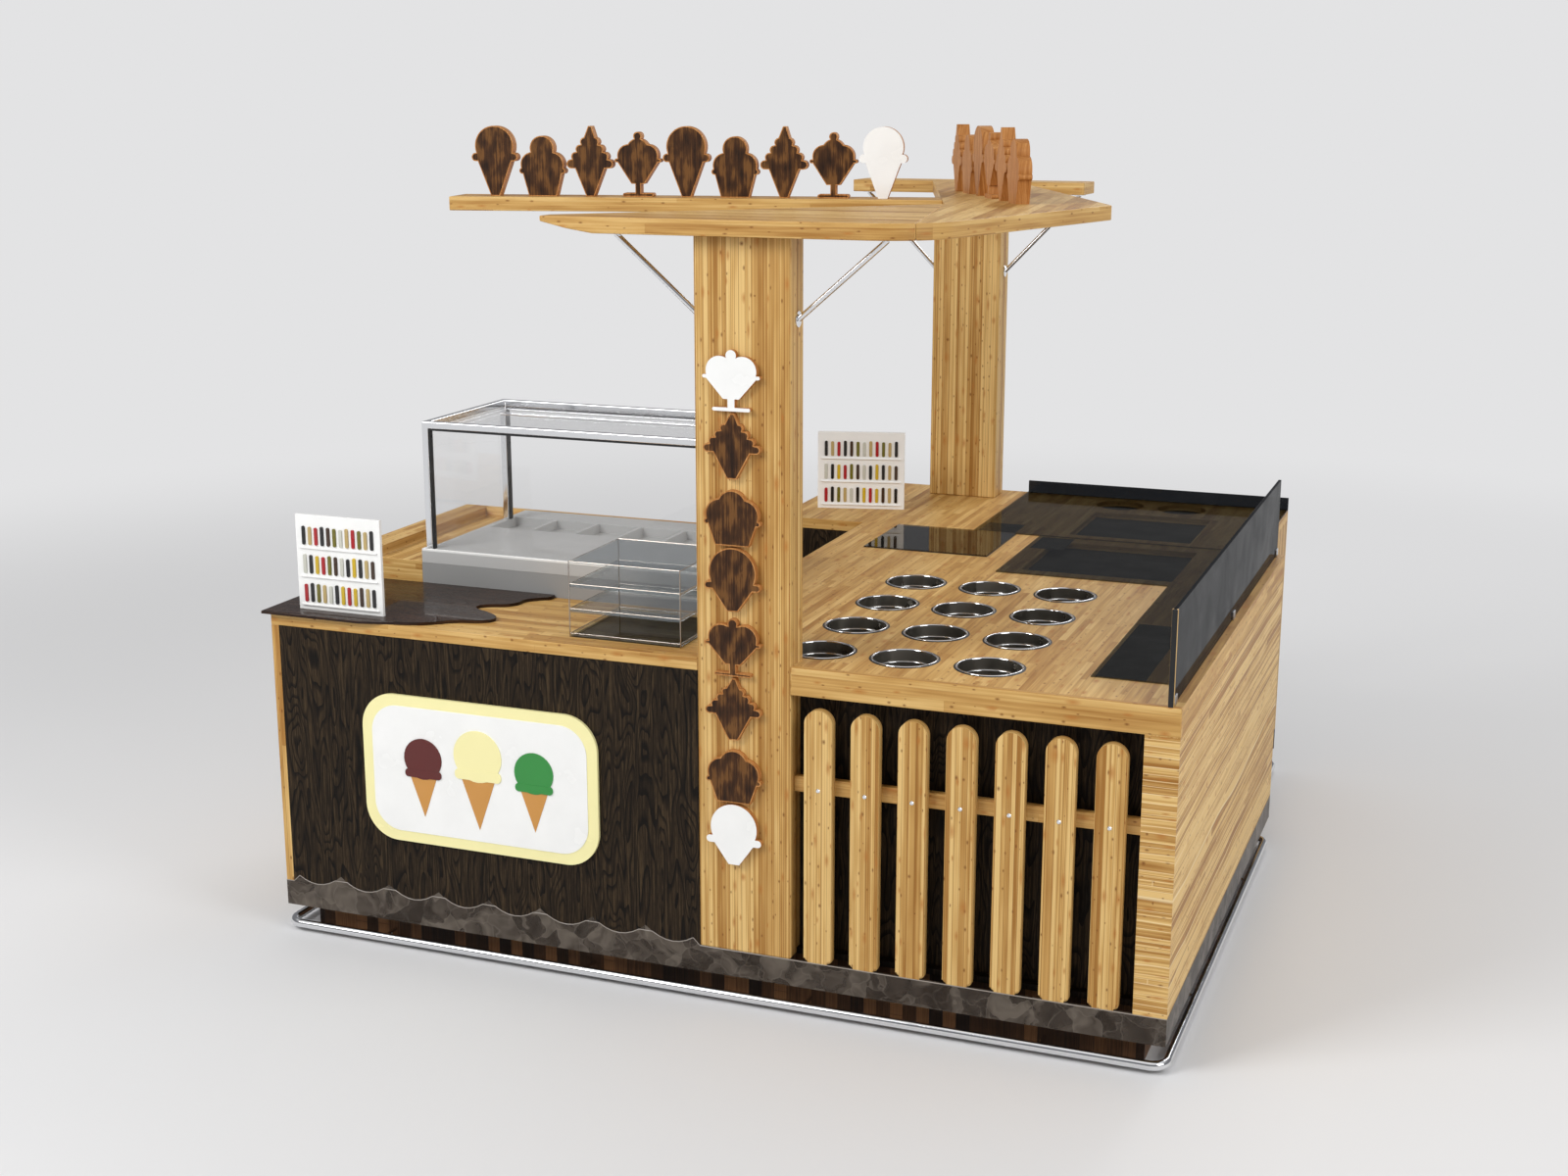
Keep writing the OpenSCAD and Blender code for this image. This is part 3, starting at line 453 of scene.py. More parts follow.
@dataclass(frozen=True)
class DarkVeneer(Surface):
    """Wenge or walnut veneer, sawn flat and oiled, or lacquered to a gloss.

    To the eye it is almost black, or a deep brown in walnut and paler on its cut edges, with fine open pores
    along the grain and nested dark contours where the cut runs through the rings.

    Attributes:
        grain: The way the wood runs.
        dark: Colour of the pores and contours.
        middle: Colour of most of the wood.
        light: Colour of the lightest fibres.
        figure: How dark the contours are.
        contours: How many contours lie between the lowest and the highest ground.
        mottle: How much the tone changes in clouds a thumb long.
        roughness: Roughness of the wood between the pores.
        shine: Specular level of the wood.
        coat: Weight of the lacquer.
        coat_roughness: Roughness of the lacquer.
    """

    grain: Grain
    dark: str = "#0f0a06"
    middle: str = "#281e13"
    light: str = "#443624"
    figure: float = 1.0
    contours: float = 17.0
    mottle: float = 0.0
    roughness: float = 0.55
    shine: float = 0.15
    coat: float = 0.0
    coat_roughness: float = 0.25

    def shader(self, add: Adder) -> Node:
        """Adds the nodes of the finish.

        Args:
            add: Adds a node.

        Returns:
            The shader node.
        """
        place = board_plane(add, self.grain)
        ground = stretched_noise(add, *place, 420 * MM, 74 * MM, seed=3.7, detail=1.5, distortion=0.35)
        rings = add("Math", [ground, self.contours], operation="MULTIPLY")
        rings = add("Math", [rings], operation="FRACT")
        ring = add("MapRange", [rings, 0.05, 0.42, 1.0, 0.0])
        pores = stretched_noise(add, *place, 26 * MM, 1.7 * MM, seed=9.1)
        pore = add("MapRange", [pores, 0.36, 0.5, 1.0, 0.0])
        fibre = stretched_noise(add, *place, 160 * MM, 5.5 * MM, seed=1.3, detail=3.0)
        tone = add("Math", [ring, -self.figure * 0.5, fibre], operation="MULTIPLY_ADD")
        tone = add("Math", [pore, -0.14, tone], operation="MULTIPLY_ADD")
        if self.mottle:
            cloud = stretched_noise(add, *place, 55 * MM, 28 * MM, seed=6.2, detail=1.0)
            cloud = add("Math", [cloud, 0.5], operation="SUBTRACT")
            tone = add("Math", [cloud, self.mottle, tone], operation="MULTIPLY_ADD")
        return add("BsdfPrincipled", {
            "Base Color": add("ValToRGB", [tone], stops=[
                (0.05, self.dark), (0.45, self.middle), (0.68, self.light)]),
            "Roughness": add("MapRange", [pores, 0.3, 0.7, self.roughness + 0.12, self.roughness - 0.06]),
            "Normal": add("Bump", {"Height": tone, "Strength": 0.3, "Distance": 0.5 * MM}),
            "IOR": 1.5, "Specular IOR Level": self.shine, "Coat Weight": self.coat,
            "Coat Roughness": self.coat_roughness})


@dataclass(frozen=True)
class BlockWood(Surface):
    """Stained hardwood blocks, set on end side by side and oiled.

    To the eye it is a row of upright dark brown blocks about as wide as two fingers, no two quite alike.

    Attributes:
        block: Width of a block.
        height: Height of a block.
        dark: Colour of the darkest blocks.
        middle: Colour of most of them.
        light: Colour of the lightest.
        gap: Colour of the gap between two.
    """

    block: float = 40 * MM
    height: float = 400 * MM
    dark: str = "#1b0f07"
    middle: str = "#432b18"
    light: str = "#7a5434"
    gap: str = "#0a0503"

    def shader(self, add: Adder) -> Node:
        """Adds the nodes of the finish.

        Args:
            add: Adds a node.

        Returns:
            The shader node.
        """
        boards = board_pattern(add, Grain.UPRIGHT, self.block, self.height)
        fibre = stretched_noise(add, boards.along, boards.across, 120 * MM, 4 * MM, boards.strip, 3.0)
        tone = add("Math", [boards.strip, 0.75], operation="MULTIPLY")
        tone = add("Math", [fibre, 0.5, tone], operation="MULTIPLY_ADD")
        colour = add("ValToRGB", [tone], stops=[(0.25, self.dark), (0.62, self.middle), (1.0, self.light)])
        height = add("Math", [boards.joint, -2.0, fibre], operation="MULTIPLY_ADD")
        return add("BsdfPrincipled", {
            "Base Color": add("Mix", {0: boards.joint, 6: colour, 7: self.gap}, data_type="RGBA"),
            "Roughness": add("MapRange", [fibre, 0.2, 0.8, 0.34, 0.5]),
            "Normal": add("Bump", {"Height": height, "Strength": 0.4, "Distance": 0.6 * MM}),
            "Specular IOR Level": 0.2})


@dataclass(frozen=True)
class CrackledAcrylic(Surface):
    """Smoked acrylic sheet cast with a crackled back, like dark ice.

    To the eye it is a grey-brown band that lets the dark plinth show through, broken up by flat facets as
    large as a thumb, some paler and some darker, with thin bright ridges between them.

    Attributes:
        facet: Size of a facet.
        dark: Colour of the darkest facets.
        middle: Colour of most of them.
        light: Colour of the lightest.
        edge: Colour of the ridges.
    """

    facet: float = 62 * MM
    dark: str = "#30271f"
    middle: str = "#473e36"
    light: str = "#665d53"
    edge: str = "#7a7167"

    def shader(self, add: Adder) -> Node:
        """Adds the nodes of the finish.

        Args:
            add: Adds a node.

        Returns:
            The shader node.
        """
        where = add("TexCoord").outputs["Object"]
        warp = add("TexNoise", {"Vector": where, "Scale": 11.0, "Detail": 2.0}).outputs["Color"]
        warped = add("Mix", {0: 0.1, 4: where, 5: warp}, data_type="VECTOR")
        at = {"Vector": warped, "Scale": 1 / self.facet}
        facets = add("TexVoronoi", at).outputs["Color"]
        edges = add("TexVoronoi", at, feature="DISTANCE_TO_EDGE")
        marble = add("TexNoise", {"Vector": warped, "Scale": 10.0, "Detail": 2.0, "Distortion": 1.6})
        tone = add("Math", [add("SeparateColor", [facets]), 0.3], operation="MULTIPLY")
        tone = add("Math", [marble, 0.9, tone], operation="MULTIPLY_ADD")
        colour = add("ValToRGB", [tone], stops=[(0.38, self.dark), (0.6, self.middle), (0.85, self.light)])
        ridge = add("MapRange", [edges, 0.0, 0.035, 0.35, 0.0])
        height = add("Math", [marble, 1.2, ridge], operation="MULTIPLY_ADD")
        return add("BsdfPrincipled", {
            "Base Color": add("Mix", {0: ridge, 6: colour, 7: self.edge}, data_type="RGBA"),
            "Roughness": 0.3,
            "Normal": add("Bump", {"Height": height, "Strength": 0.35, "Distance": 1.2 * MM}),
            "IOR": 1.49, "Specular IOR Level": 0.3,
            "Alpha": add("MapRange", [tone, 0.35, 0.8, 0.74, 0.92])})


@dataclass(frozen=True)
class Metal(Surface):
    """Steel, polished and chrome plated or brushed.

    To the eye chrome is a clean bright mirror with soft smears; brushed steel is pale grey with fine lines
    that blur what it mirrors.

    Attributes:
        colour: Colour of the metal.
        roughness: Its mean roughness.
        brushed: How strong the brush lines are.
        grain: The way they run.
        line_tint: Colour of a brush line.
    """

    colour: str = "#e9eaec"
    roughness: float = 0.11
    brushed: float = 0.0
    grain: Grain = Grain.ACROSS
    line_tint: str = "#9b9ca0"

    def shader(self, add: Adder) -> Node:
        """Adds the nodes of the finish.

        Args:
            add: Adds a node.

        Returns:
            The shader node.
        """
        place = board_plane(add, self.grain)
        # brush lines 1.5 mm apart: the real ones, ten times finer, would not show
        lines = stretched_noise(add, *place, 180 * MM, 1.5 * MM)
        smear = stretched_noise(add, *place, 90 * MM, 60 * MM, seed=5.0)
        amount = add("Math", [lines, max(self.brushed, 0.05)], operation="MULTIPLY")
        return add("BsdfPrincipled", {
            "Base Color": add("Mix", {0: amount, 6: self.colour, 7: self.line_tint}, data_type="RGBA"),
            "Metallic": 1.0,
            "Roughness": add("MapRange", [smear, 0.3, 0.7, self.roughness * 0.75, self.roughness * 1.35]),
            "Normal": add("Bump", {"Height": lines, "Strength": 0.25 * self.brushed, "Distance": 0.1 * MM})})


@dataclass(frozen=True)
class SheetGlass(Surface):
    """Float glass or cast acrylic, clear or smoked through, with polished faces.

    To the eye it is seen through unbent, tinted by each face, with a clean mirror image that grows towards
    a glancing view and a faint film of wiping marks.

    Attributes:
        tint: What a face lets through.
        gloss: How much of a clean pane's mirror image it shows.
        haze: How much a veil covers it.
        haze_colour: Colour of the veil.
        facing: Share that a clean pane mirrors face on.
    """

    tint: str
    gloss: float = 1.0
    haze: float = 0.0
    haze_colour: str = "#d8dde0"
    facing: float = 0.04

    def shader(self, add: Adder) -> Node:
        """Adds the nodes of the finish.

        Args:
            add: Adds a node.

        Returns:
            The shader node.
        """
        where = add("TexCoord").outputs["Object"]
        film = add("TexNoise", {"Vector": where, "Scale": 7.0, "Detail": 4.0, "Distortion": 0.6})
        through = add("BsdfTransparent", [self.tint])
        smear = add("MapRange", [film, 0.35, 0.75, 0.015, 0.06])
        skin = add("BsdfGlossy", {"Color": "#ffffff", "Roughness": smear})
        glance = add("LayerWeight", [0.5]).outputs["Facing"]
        glance = add("Math", [glance, 5.0], operation="POWER")
        mirrored = add("Math", [glance, (1 - self.facing) * self.gloss, self.facing * self.gloss],
                       operation="MULTIPLY_ADD")
        shader = add("MixShader", [mirrored, through, skin])
        if self.haze:
            veil = add("BsdfDiffuse", [self.haze_colour])
            amount = add("MapRange", [film, 0.3, 0.8, self.haze * 0.7, self.haze * 1.4])
            shader = add("MixShader", [amount, shader, veil])
        return shader


@dataclass(frozen=True)
class Lacquer(Surface):
    """Sprayed two-pack lacquer or cast acrylic, rubbed to a gloss.

    To the eye it is an even colour with a faint ripple in its highlights and a trace of dust.

    Attributes:
        colour: Its colour.
        roughness: Its mean roughness.
        dust: Colour of the dust.
    """

    colour: str
    roughness: float = 0.22
    dust: str = "#8a8a88"

    def shader(self, add: Adder) -> Node:
        """Adds the nodes of the finish.

        Args:
            add: Adds a node.

        Returns:
            The shader node.
        """
        where = add("TexCoord").outputs["Object"]
        ripple = add("TexNoise", {"Vector": where, "Scale": 260.0, "Detail": 2.0})
        cloud = add("TexNoise", {"Vector": where, "Scale": 9.0, "Detail": 3.0})
        dust = add("MapRange", [cloud, 0.35, 0.8, 0.0, 0.07])
        return add("BsdfPrincipled", {
            "Base Color": add("Mix", {0: dust, 6: self.colour, 7: self.dust}, data_type="RGBA"),
            "Roughness": add("MapRange", [cloud, 0.3, 0.7, self.roughness * 0.8, self.roughness * 1.3]),
            "Normal": add("Bump", {"Height": ripple, "Strength": 0.06, "Distance": 0.2 * MM}),
            "IOR": 1.5})


@dataclass(frozen=True)
class StudioFloor(Surface):
    """Matt painted studio floor that passes into the backdrop.

    To the eye it is a plain pale ground that keeps the kiosk's soft shadow and has no far edge.

    Attributes:
        backdrop: Colour of the backdrop.
        colour: Colour of the floor.
        fade_from: How far from the middle it starts to pass into the backdrop, in metres.
        fade_to: How far from the middle it has passed into it.
    """

    backdrop: str
    colour: str = "#dededf"
    fade_from: float = 3.4
    fade_to: float = 9.0

    def shader(self, add: Adder) -> Node:
        """Adds the nodes of the finish.

        Args:
            add: Adds a node.

        Returns:
            The shader node.
        """
        where = add("TexCoord").outputs["Object"]
        cloud = add("TexNoise", {"Vector": where, "Scale": 1.4, "Detail": 3.0})
        paint = add("BsdfPrincipled", {
            "Base Color": self.colour, "Roughness": add("MapRange", [cloud, 0.3, 0.7, 0.7, 0.8]),
            "Specular IOR Level": 0.1})
        wall = add("Emission", [self.backdrop, 1.0])
        reach = add("VectorMath", [where], operation="LENGTH")
        fade = add("MapRange", [reach, self.fade_from, self.fade_to], interpolation_type="SMOOTHSTEP")
        fade = add("Math", [fade, seen_rays(add)], operation="MULTIPLY")
        return add("MixShader", [fade, paint, wall])


class Finishes:
    """Every finish of the kiosk, built once."""

    def __init__(self) -> None:
        """Builds the finishes."""
        self.bamboo_across = Bamboo("laminated_bamboo_across", Grain.ACROSS, board_share=0.24).build()
        self.bamboo_deep = Bamboo("laminated_bamboo_deep", Grain.DEEP, board_share=0.24).build()
        self.bamboo_edge = Bamboo("long_bamboo_edge", Grain.ACROSS, strip=27 * MM, board=1600 * MM,
                                  streak=9 * MM, streak_length=500 * MM).build()
        self.bamboo_upright = Bamboo(
            "laminated_bamboo_upright", Grain.UPRIGHT, strip=13 * MM, board=40000 * MM, uneven=0.4,
            line=1.5 * MM, streak=3.5 * MM, streak_length=2200 * MM, streak_share=0.9, board_share=0.36,
            joint_share=0.6).build()
        self.bamboo_wall = Bamboo(
            "stacked_bamboo_wall", Grain.DEEP, strip=19 * MM, board=2600 * MM, uneven=0.5, wave=5 * MM,
            line=2 * MM, streak=5 * MM, streak_length=900 * MM, streak_share=0.95, joint_share=0.8,
            joint_tint="#efd6a4").build()
        self.bamboo_wing = Bamboo("bamboo_canopy_front", Grain.ACROSS, strip=34 * MM, board=1500 * MM).build()
        self.bamboo_side = Bamboo("bamboo_canopy_side", Grain.DEEP, turn=math.radians(8), strip=34 * MM,
                                  board=1500 * MM).build()
        self.bamboo_bar = Bamboo("bamboo_sign_bar", Grain.ACROSS, turn=math.radians(BAR_TURN), strip=34 * MM,
                                 board=1500 * MM).build()
        self.wenge = DarkVeneer("oiled_wenge_veneer", Grain.UPRIGHT).build()
        self.wenge_plain = DarkVeneer("oiled_wenge_plain", Grain.UPRIGHT, dark="#060302", middle="#18110b",
                                      light="#2c2219", figure=0.4).build()
        self.drip_gloss = DarkVeneer("lacquered_walnut_gloss", Grain.ACROSS, dark="#120906", middle="#2c1c14",
                                     light="#4a3224", figure=0.35, roughness=0.25, shine=0.05, coat=0.35,
                                     coat_roughness=0.03).build()
        self.walnut = DarkVeneer("oiled_walnut", Grain.UPRIGHT, dark="#231206", middle="#432812",
                                 light="#6d4823", figure=0.2, contours=6.0, mottle=1.3, coat=0.15).build()
        self.walnut_rim = DarkVeneer("cut_walnut_edge", Grain.UPRIGHT, dark="#8a5423", middle="#b0763f",
                                     light="#c8935a", figure=0.15, contours=5.0, coat=0.1).build()
        self.blocks = BlockWood("stained_oak_blocks").build()
        self.ice = CrackledAcrylic("crackled_smoked_acrylic").build()
        self.chrome = Metal("chrome_plated_steel").build()
        self.steel = Metal("brushed_stainless_steel", "#bcbdbf", 0.28, 0.5).build()
        self.cup_steel = Metal("pressed_steel_cup", "#8e887d", 0.36, 0.2, Grain.UPRIGHT).build()
        self.cabinet_grey = Lacquer("grey_cabinet_lacquer", "#969695", 0.5, "#8a8a89").build()
        self.dark_glass = SheetGlass("smoked_counter_glass", "#c6c7c5", gloss=0.3).build()
        self.hob_glass = SheetGlass("smoked_ceramic_glass", "#c3c2bd", gloss=0.7).build()
        self.guard_glass = SheetGlass("smoked_guard_glass", "#74767a", gloss=0.5, haze=0.45,
                                      haze_colour="#26282b").build()
        self.clear_glass = SheetGlass("clear_float_glass", "#fcfcfc", gloss=0.6).build()
        self.clear_acrylic = SheetGlass("clear_cast_acrylic", "#eceff0", haze=0.03).build()
        self.pan_black = Lacquer("black_enamel", "#15120e", 0.6, "#221f1a").build()
        self.skirt_edge = Lacquer("polished_acrylic_edge", "#9a928a", 0.12, "#6a625a").build()
        self.tray_grey = Lacquer("grey_enamelled_tray", "#bcbcbb", 0.4, "#9a9a99").build()
        self.nickel = Metal("nickel_plated_wire", "#b5aca2", 0.2).build()
        self.seal = Lacquer("black_rubber_seal", "#121213", 0.5, "#1c1c1d").build()
        self.white = Lacquer("white_cast_acrylic", "#f4f4f2").build()
        self.cream = Lacquer("cream_lacquer", "#f6eeb0", dust="#c9c089").build()
        self.green = Lacquer("green_lacquer", "#2f8a3c", dust="#24592c").build()
        self.maroon = Lacquer("maroon_lacquer", "#5a1a16", dust="#3a1512").build()
        self.wafer = Lacquer("wafer_lacquer", "#c98f45", dust="#8a5c28").build()
        self.samples = [Lacquer("sample_" + name, code, 0.3).build() for name, code in (
            ("black", "#141212"), ("red", "#a5121b"), ("olive", "#6b651c"), ("beige", "#b79f68"),
            ("pale", "#c6c6ba"), ("yellow", "#c9a81f"), ("brown", "#3a2514"))]


# ---------------------------------------------------------------- shapes


def rounded_rectangle(low: Point2, high: Point2, radius: float, steps: int = 8) -> Outline:
    """Gives the outline of a rectangle with round corners.

    Args:
        low: The lowest corner.
        high: The highest corner.
        radius: The corner radius.
        steps: Points in each corner, less one.

    Returns:
        The outline, anticlockwise.
    """
    centres = ((high[0] - radius, high[1] - radius), (low[0] + radius, high[1] - radius),
               (low[0] + radius, low[1] + radius), (high[0] - radius, low[1] + radius))
    points = []
    for quarter, (x, y) in enumerate(centres):
        for step in range(steps + 1):
            angle = (quarter + step / steps) * math.pi / 2
            points.append((x + radius * math.cos(angle), y + radius * math.sin(angle)))
    return points


def circle(x: float, y: float, radius: float, steps: int = 32) -> Outline:
    """Gives the outline of a circle round (x, y)."""
    turns = (2 * math.pi * i / steps for i in range(steps))
    return [(x + radius * math.cos(a), y + radius * math.sin(a)) for a in turns]


def standing(y: float) -> Matrix:
    """Gives the matrix that stands an outline up in x and z, its back on the plane y."""
    return Matrix(((1, 0, 0, 0), (0, 0, -1, y), (0, 1, 0, 0), (0, 0, 0, 1)))


def clean_copy(node: bpy.types.Object) -> bmesh.types.BMesh:
    """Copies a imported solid's mesh with its doubled corners joined and its flat faces whole.

    Args:
        node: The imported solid.

    Returns:
        The copy.
    """
    part = bmesh.new()
    part.from_mesh(node.data)
    bmesh.ops.remove_doubles(part, verts=part.verts, dist=TOUCH)
    bmesh.ops.dissolve_limit(part, angle_limit=math.radians(1), verts=part.verts, edges=part.edges)
    return part


class Shape:
    """A mesh under construction, in metres in the part's frame."""

    def __init__(self) -> None:
        """Starts an empty mesh."""
        self.mesh = bmesh.new()

    def take(self, part: bmesh.types.BMesh, finish: int | None = 0) -> "Shape":
        """Adds another mesh to this one and frees it.

        Args:
            part: The mesh to add.
            finish: The finish of its faces, or None to keep theirs.

        Returns:
            This shape.
        """
        if finish is not None:
            for face in part.faces:
                face.material_index = finish
        scratch = bpy.data.meshes.new("scratch")
        part.to_mesh(scratch)
        part.free()
        self.mesh.from_mesh(scratch)
        bpy.data.meshes.remove(scratch)
        return self

    def block(self, low: Sequence[float], high: Sequence[float], bevel: float = 0.0, segments: int = 2,
              finish: int = 0, place: Matrix | None = None) -> "Shape":
        """Adds a block with rounded edges.

        Args:
            low: Its lowest corner.
            high: Its highest corner.
            bevel: Radius of its edges.
            segments: Faces in each rounded edge.
            finish: The finish of its faces.
            place: Where it goes, if not where its corners say.

        Returns:
            This shape.
        """
        part = bmesh.new()
        bmesh.ops.create_cube(part, size=1)
        centre = [(a + b) / 2 for a, b in zip(low, high)]
        sizes = [b - a for a, b in zip(low, high)]
        part.transform(Matrix.Translation(centre) @ Matrix.Diagonal((*sizes, 1)))
        if bevel:
            bmesh.ops.bevel(part, geom=part.edges[:], offset=bevel, segments=segments, profile=0.5,
                            affect="EDGES", clamp_overlap=True)
        if place:
            part.transform(place)
        return self.take(part, finish)

    def prism(self, outline: Outline, low: float, high: float, bevel: float = 0.0, segments: int = 2,
              both: bool = False, finish: int = 0, place: Matrix | None = None) -> "Shape":
        """Adds a solid with a flat outline.

        Args:
            outline: Its outline.
            low: Where its thickness starts.
            high: Where its thickness ends.
            bevel: Radius of the edge round its high face.
            segments: Faces in that edge.
            both: Whether the edge of its low face is rounded too.
            finish: The finish of its faces.
            place: Where it goes.

        Returns:
            This shape.
        """
        area = sum(a[0] * b[1] - b[0] * a[1] for a, b in zip(outline, outline[1:] + outline[:1]))
        points = outline if area > 0 else outline[::-1]
        part = bmesh.new()
        floor, roof = ([part.verts.new((x, y, z)) for x, y in points] for z in (low, high))
        part.faces.new(floor[::-1])
        part.faces.new(roof)
        for i in range(len(points)):
            j = (i + 1) % len(points)
            part.faces.new((floor[i], floor[j], roof[j], roof[i]))
        if bevel:
            levels = (low, high) if both else (high,)
            edges = [e for e in part.edges for z in levels if all(abs(v.co.z - z) < 1e-6 for v in e.verts)]
            bmesh.ops.bevel(part, geom=edges, offset=bevel, segments=segments, profile=0.5,
                            affect="EDGES", clamp_overlap=True)
        if place:
            part.transform(place)
        return self.take(part, finish)

    def lathe(self, profile: Outline, centre: Sequence[float], steps: int = 64, finish: int = 0,
              place: Matrix | None = None) -> "Shape":
        """Adds a turned solid.

        Args:
            profile: Radius and height of each point, from the axis out and back to the axis.
            centre: Where its axis stands.
            steps: Faces round it.
            finish: The finish of its faces.
            place: How it is turned before it goes to its centre.

        Returns:
            This shape.
        """
        part = bmesh.new()
        rings = []
        for radius, height in profile:
            if radius < 1e-6:
                rings.append([part.verts.new((0, 0, height))])
            else:
                turns = (2 * math.pi * i / steps for i in range(steps))
                rings.append([part.verts.new((radius * math.cos(a), radius * math.sin(a), height))
                              for a in turns])
        for lower, upper in zip(rings, rings[1:]):
            for i in range(steps if len(lower) + len(upper) > 2 else 0):
                j = (i + 1) % steps
                corners = [lower[i % len(lower)], lower[j % len(lower)],
                           upper[j % len(upper)], upper[i % len(upper)]]
                part.faces.new(list(dict.fromkeys(corners)))
        bmesh.ops.remove_doubles(part, verts=part.verts, dist=1e-6)
        bmesh.ops.recalc_face_normals(part, faces=part.faces)
        part.transform(Matrix.Translation(centre) @ (place or Matrix()))
        return self.take(part, finish)

    def tube(self, path: Sequence[Vector], radius: float, sides: int = 20, finish: int = 0) -> "Shape":
        """Adds a round bar along a path, with flat ends.

        Args:
            path: The points of its middle line.
            radius: Its radius.
            sides: Faces round it.
            finish: The finish of its faces.

        Returns:
            This shape.
        """
        part = bmesh.new()
        points = [Vector(p) for p in path]
        rings = []
        across = None
        for i, point in enumerate(points):
            ahead = (points[min(i + 1, len(points) - 1)] - points[max(i - 1, 0)]).normalized()
            across = ahead.orthogonal() if across is None else across - ahead * across.dot(ahead)
            across.normalize()
            up = ahead.cross(across)
            turns = (2 * math.pi * k / sides for k in range(sides))
            rings.append([part.verts.new(point + radius * (math.cos(a) * across + math.sin(a) * up))
                          for a in turns])
        for one, two in zip(rings, rings[1:]):
            for k in range(sides):
                m = (k + 1) % sides
                part.faces.new((one[k], one[m], two[m], two[k]))
        part.faces.new(rings[0][::-1])
        part.faces.new(rings[-1])
        return self.take(part, finish)

    def copy(self, node: bpy.types.Object, bevel: float = 0.0, segments: int = 2, angle: float = 30.0,
             finish: int = 0) -> "Shape":
        """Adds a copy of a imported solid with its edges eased.

        Args:
            node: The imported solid.
            bevel: Radius of its edges.
            segments: Faces in each edge.
            angle: The least fold, in degrees, that counts as an edge.
            finish: The finish of its faces.

        Returns:
            This shape.
        """
        part = clean_copy(node)
        if bevel:
            least = math.radians(angle)
            edges = [e for e in part.edges if len(e.link_faces) == 2 and e.calc_face_angle(0) > least]
            bmesh.ops.bevel(part, geom=edges, offset=bevel, segments=segments, profile=0.5,
                            affect="EDGES", clamp_overlap=True)
        return self.take(part, finish)


def box_of(node: str) -> tuple[Vector, Vector]:
    """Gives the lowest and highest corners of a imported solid."""
    low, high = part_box(node)
    return Vector(low), Vector(high)


@dataclass
class Assembly:
    """What every sub-assembly has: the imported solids, the finishes and the ways to make pieces of them.

    Attributes:
        nodes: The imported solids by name.
        finishes: The finishes.
        pieces: How many pieces it has made.
    """

    nodes: dict[str, bpy.types.Object]
    finishes: Finishes
    pieces: int = 0

    def build(self) -> None:
        """Makes and dresses the sub-assembly's pieces."""
        raise NotImplementedError

    def make(self, name: str, shape: Shape, finishes: Finish | Sequence[Finish], slot: str,
             instead_of: Iterable[str] = (), crease: float = 35.0) -> None:
        """Makes a piece that rides on the kiosk.

        Args:
            name: The piece's name.
            shape: Its mesh.
            finishes: Its finish, or its finishes in order.
            slot: The record's material slot that it takes its finish from.
            instead_of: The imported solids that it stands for.
            crease: The least fold, in degrees, that shows as a sharp edge.
        """
        mesh = bpy.data.meshes.new(name)
        shape.mesh.to_mesh(mesh)
        shape.mesh.free()
        for finish in finishes if isinstance(finishes, (list, tuple)) else [finishes]:
            mesh.materials.append(finish)
        mesh.shade_smooth()
        mesh.set_sharp_from_angle(angle=math.radians(crease))
        piece = bpy.data.objects.new(name, mesh)
        bpy.context.scene.collection.objects.link(piece)
        piece.modifiers.new("even_shading", "WEIGHTED_NORMAL").keep_sharp = True
        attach(piece, BODY)
        if instead_of:
            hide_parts(*instead_of)
        self.pieces += 1
        LOG.info("piece %s: %d faces", name, len(mesh.polygons))

    def ease(self, node: str, finish: Finish, slot: str, bevel: float, segments: int = 2,
             crease: float = 35.0) -> None:
        """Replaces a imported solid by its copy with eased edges.

        Args:
            node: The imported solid's name.
            finish: The finish.
            slot: The record's material slot.
            bevel: Radius of the edges.
            segments: Faces in each edge.
            crease: The least fold, in degrees, that shows as a sharp edge.
        """
        shape = Shape().copy(self.nodes[node], bevel, segments)
        self.make(node + "_dressed", shape, finish, slot, [node], crease)

    def dress(self, finish: Finish, *names: str) -> None:
        """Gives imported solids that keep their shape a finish.

        Args:
            finish: The finish.
            *names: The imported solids' names.
        """
        for name in names:
            for slot in self.nodes[name].material_slots:
                slot.link = "OBJECT"
                slot.material = finish
            LOG.info("solid %s: %s", name, finish.name)

    def lifted_glass(self, node: str, gap: float) -> Shape:
        """Copies a glass top and lifts its lower face off the wood below.

        Args:
            node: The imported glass.
            gap: The gap below it.

        Returns:
            The copy.
        """
        shape = Shape().copy(self.nodes[node])
        low = box_of(node)[0]
        for vertex in shape.mesh.verts:
            if vertex.co.z < low.z + MM:
                vertex.co.z += gap
        return shape


# ---------------------------------------------------------------- the kiosk


